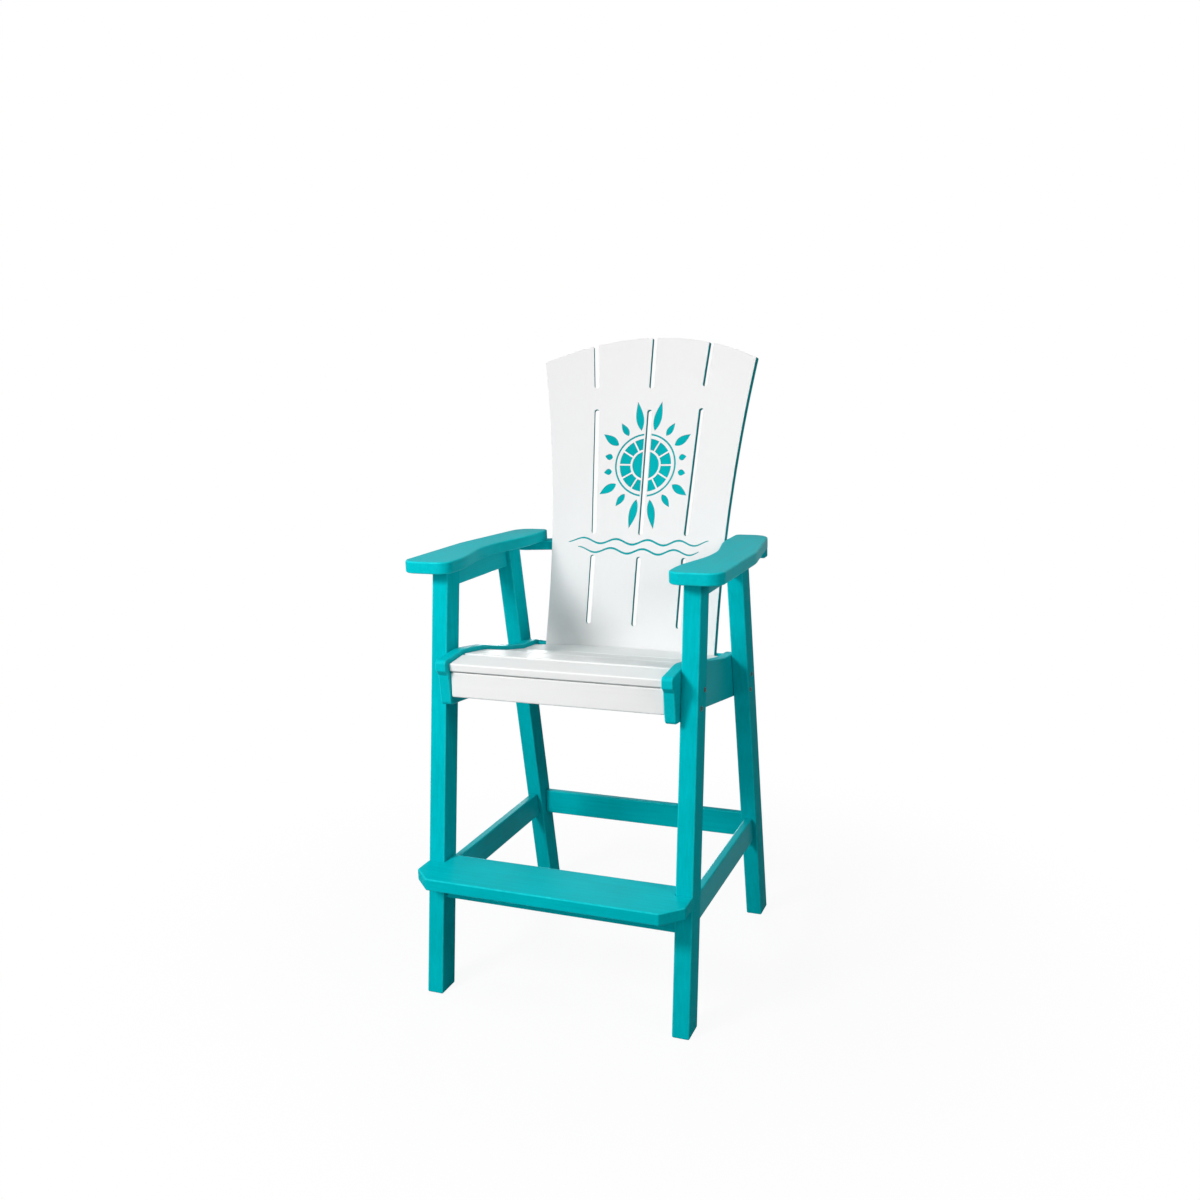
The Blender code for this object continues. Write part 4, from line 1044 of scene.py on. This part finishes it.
def bend_panel(points, lean):
    """Panel points (x, s, height) on their hollow: depth below the face d lies on radius R + d.

    A sheet that is cut flat and then bent: with sin(turn) = x / R the point lies at
    (R + d) * (sin, cos) from the hollow's axis, and a normal turns by the same angle.
    """
    sine = points[:, 0] / PANEL_RADIUS
    cosine = np.sqrt(1 - sine ** 2)
    reach = PANEL_RADIUS + PANEL_THICK / 2 - points[:, 2]
    bent = np.column_stack([sine * reach, points[:, 1], PANEL_RADIUS - cosine * reach])
    return bent, np.column_stack([lean[:, 0] * cosine - lean[:, 2] * sine, lean[:, 1],
                                  lean[:, 0] * sine + lean[:, 2] * cosine])


def panel_walls(surface, outlines):
    """Cut edges of the panel in bands of skin, core and skin; returns back rims and front rims."""
    inset, height, tilt = edge_rings(PANEL_THICK, PANEL_EDGE, PANEL_EDGE_STEPS)
    half = len(height) // 2
    skin = PANEL_THICK / 2 - PANEL_SKIN
    inset, tilt = np.insert(inset, half, (0, 0)), np.insert(tilt, half, (0, 0))
    height = np.insert(height, half, (-skin, skin))
    core = np.arange(len(height) - 1) == half
    walls = []
    for outline, normal, _ in outlines:
        points, lean = wall_grid(outline, normal, inset, height, tilt)
        walls.append(surface.add_rings(points, lean, wear_and_highlight_share(tilt), core))
    return [wall[0] for wall in walls], [wall[-1] for wall in walls]


def panel_face_points():
    """Even grid of points inside the panel's outline, so that its faces bend smoothly."""
    x, s = (axis.ravel() for axis in np.meshgrid(*(np.linspace(*span) for span in FACE_GRID)))
    roof = ARCH_CENTRE[1] + np.sqrt(ARCH_RADIUS ** 2 - x ** 2)
    inside = (np.abs(x) < panel_half_width(s) - FACE_MARGIN) & (s < roof - FACE_MARGIN)
    return np.stack([x, s], axis=1)[inside]


def engrave(surface, number, floor):
    """Motif triangles sunk into the face, with walls on the edges that only one of them has.

    floor holds places in number, the list of the face's point numbers.
    """
    used = np.unique(floor)
    sunk = np.zeros(len(number), int)
    sunk[used] = surface.add_level(surface.points[number[used], :2],
                                   PANEL_THICK / 2 - ENGRAVE_DEPTH)
    surface.add_faces(sunk[floor], 1)
    edges = np.concatenate([floor[:, [0, 1]], floor[:, [1, 2]], floor[:, [2, 0]]])
    code = (len(number), 1)
    near, far = edges[~np.isin(edges @ code, edges[:, ::-1] @ code)].T
    surface.add_faces(np.column_stack([sunk[near], sunk[far], number[far], number[near]]), 1)


def build_panel():
    """Back panel: light skins over a coloured core that shows on cut edges and in the motifs."""
    slots = [(share, *row) for share in SLOT_SHARES for row in SLOT_ROWS]
    outlines = [panel_corners()] + [closed_slot(*slot) for slot in slots]
    guards = [tangent_outline(closed_slot(*slot, SLOT_MARGIN))[0] for slot in slots]
    inner = panel_face_points()
    surface = Surface()
    backs, fronts = panel_walls(surface, [tangent_outline(corners) for corners in outlines])

    rims = [surface.points[rim, :2] for rim in backs]
    triangles, _, extra = fill_face(rims, inner)
    number = np.r_[np.concatenate(backs), surface.add_level(extra, -PANEL_THICK / 2)]
    surface.add_faces(number[triangles][:, ::-1])

    rims = [surface.points[rim, :2] for rim in fronts]
    triangles, cut, extra = fill_face(rims, inner, panel_motifs(), guards)
    number = np.r_[np.concatenate(fronts), surface.add_level(extra, PANEL_THICK / 2)]
    surface.add_faces(number[triangles[~cut]])
    engrave(surface, number, triangles[cut])

    surface.points, surface.lean = bend_panel(surface.points, surface.lean)
    matrix = set_frame((1, 0, 0), (0, *UP_PANEL), (0, *-SQUARE_TO_PANEL), (0, *KNOTS[-1]))
    add_piece("back_panel_sheet", "back_panel", surface, [WHITE_Z, CORE], matrix)


def finish_hidden_nodes():
    """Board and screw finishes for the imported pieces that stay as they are."""
    for node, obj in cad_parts.items():
        if obj.hide_render:
            continue
        obj.data.materials.clear()
        obj.data.materials.append(STEEL if "_screw_" in node else TEAL_Y)


def backdrop_share(tree):
    """1 for rays that see the surroundings as a backdrop: camera, glossy and transmitted ones."""
    path = tree.nodes.new("ShaderNodeLightPath").outputs
    seen = math_node(tree, "MAXIMUM", path["Is Camera Ray"], path["Is Glossy Ray"])
    return math_node(tree, "MAXIMUM", seen, path["Is Transmission Ray"])


def floor_material():
    """Paper that glows more and more away from the chair, and is grey to the light it returns."""
    material = bpy.data.materials.new("studio_floor")
    material.use_nodes = True
    tree = material.node_tree
    tree.nodes.clear()
    place = tree.nodes.new("ShaderNodeTexCoord").outputs["Object"]
    away = add_node(tree, "ShaderNodeVectorMath", {"operation": "LENGTH"}, {0: place})
    glow = add_node(tree, "ShaderNodeMapRange", {"interpolation_type": "SMOOTHSTEP"}, {
        "Value": away.outputs["Value"], "From Min": FLOOR_FADE[0], "From Max": FLOOR_FADE[1],
        "To Min": FLOOR_GLOW[0], "To Max": FLOOR_GLOW[1]}).outputs[0]
    paper = add_node(tree, "ShaderNodeBsdfDiffuse", None, {"Color": PAPER_WHITE}).outputs[0]
    white = add_node(tree, "ShaderNodeEmission", None, {"Color": PURE_WHITE, "Strength": 1.0})
    bounce = add_node(tree, "ShaderNodeBsdfDiffuse", None, {"Color": BOUNCE_GREY}).outputs[0]
    shown = add_node(tree, "ShaderNodeMixShader", None, {0: glow, 1: paper, 2: white.outputs[0]})
    mixed = add_node(tree, "ShaderNodeMixShader", None, {
        0: backdrop_share(tree), 1: bounce, 2: shown.outputs[0]})
    add_node(tree, "ShaderNodeOutputMaterial", None, {"Surface": mixed.outputs[0]})
    return material


def build_floor():
    """Pale floor that fades to the white surroundings away from the chair, and keeps its shadow."""
    mesh = bpy.data.meshes.new("studio_floor")
    low, high = -FLOOR_HALF, FLOOR_HALF
    corners = [(low, low, 0), (high, low, 0), (high, high, 0), (low, high, 0)]
    mesh.from_pydata(corners, [], [(0, 1, 2, 3)])
    mesh.materials.append(floor_material())
    floor = new_object("studio_floor", mesh)


def build_surroundings():
    """Surroundings that look white and give only a low fill light."""
    world = bpy.data.worlds.new("studio")
    world.use_nodes = True
    bpy.context.scene.world = world
    tree = world.node_tree
    strength = weighted(tree, FILL_LEVEL, [(backdrop_share(tree), 1 - FILL_LEVEL)])
    surroundings = tree.nodes["Background"]
    surroundings.inputs["Color"].default_value = PURE_WHITE
    tree.links.new(strength, surroundings.inputs["Strength"])


def add_softbox(name, place, target, size, power):
    """Square soft light that looks from a place at a target."""
    light = bpy.data.lights.new(name, "AREA")
    light.size = size
    light.energy = power
    lamp = new_object(name, light)
    lamp.location = place
    lamp.rotation_euler = (Vector(target) - Vector(place)).to_track_quat("-Z", "Y").to_euler()


def build_camera():
    """Camera at the photograph's viewing angle: yaw, pitch down and a slight roll."""
    data = bpy.data.cameras.new("camera")
    data.sensor_width = SENSOR_WIDTH
    data.lens = CAMERA_LENS
    data.clip_end = VIEW_END
    level = Vector((math.cos(CAMERA_YAW), -math.sin(CAMERA_YAW), 0))
    ahead = Vector((math.sin(CAMERA_YAW) * math.cos(CAMERA_PITCH),
                    math.cos(CAMERA_YAW) * math.cos(CAMERA_PITCH), -math.sin(CAMERA_PITCH)))
    above = level.cross(ahead)
    right = level * math.cos(CAMERA_ROLL) + above * math.sin(CAMERA_ROLL)
    up = above * math.cos(CAMERA_ROLL) - level * math.sin(CAMERA_ROLL)
    turn = Matrix((right, up, -ahead)).transposed().to_4x4()
    x, y, z = CAMERA_PLACE
    camera = new_object("camera", data)
    camera.matrix_world = Matrix.Translation((x, y - Y_MID, z)) @ turn
    bpy.context.scene.camera = camera


build_legs()
build_seat()
build_arms()
build_base()
build_back_rails()
build_panel()
finish_hidden_nodes()
build_floor()
build_surroundings()
for lamp_name, lamp_settings in LAMPS.items():
    add_softbox(lamp_name, *lamp_settings)
build_camera()
bpy.context.scene.view_settings.view_transform = "Standard"
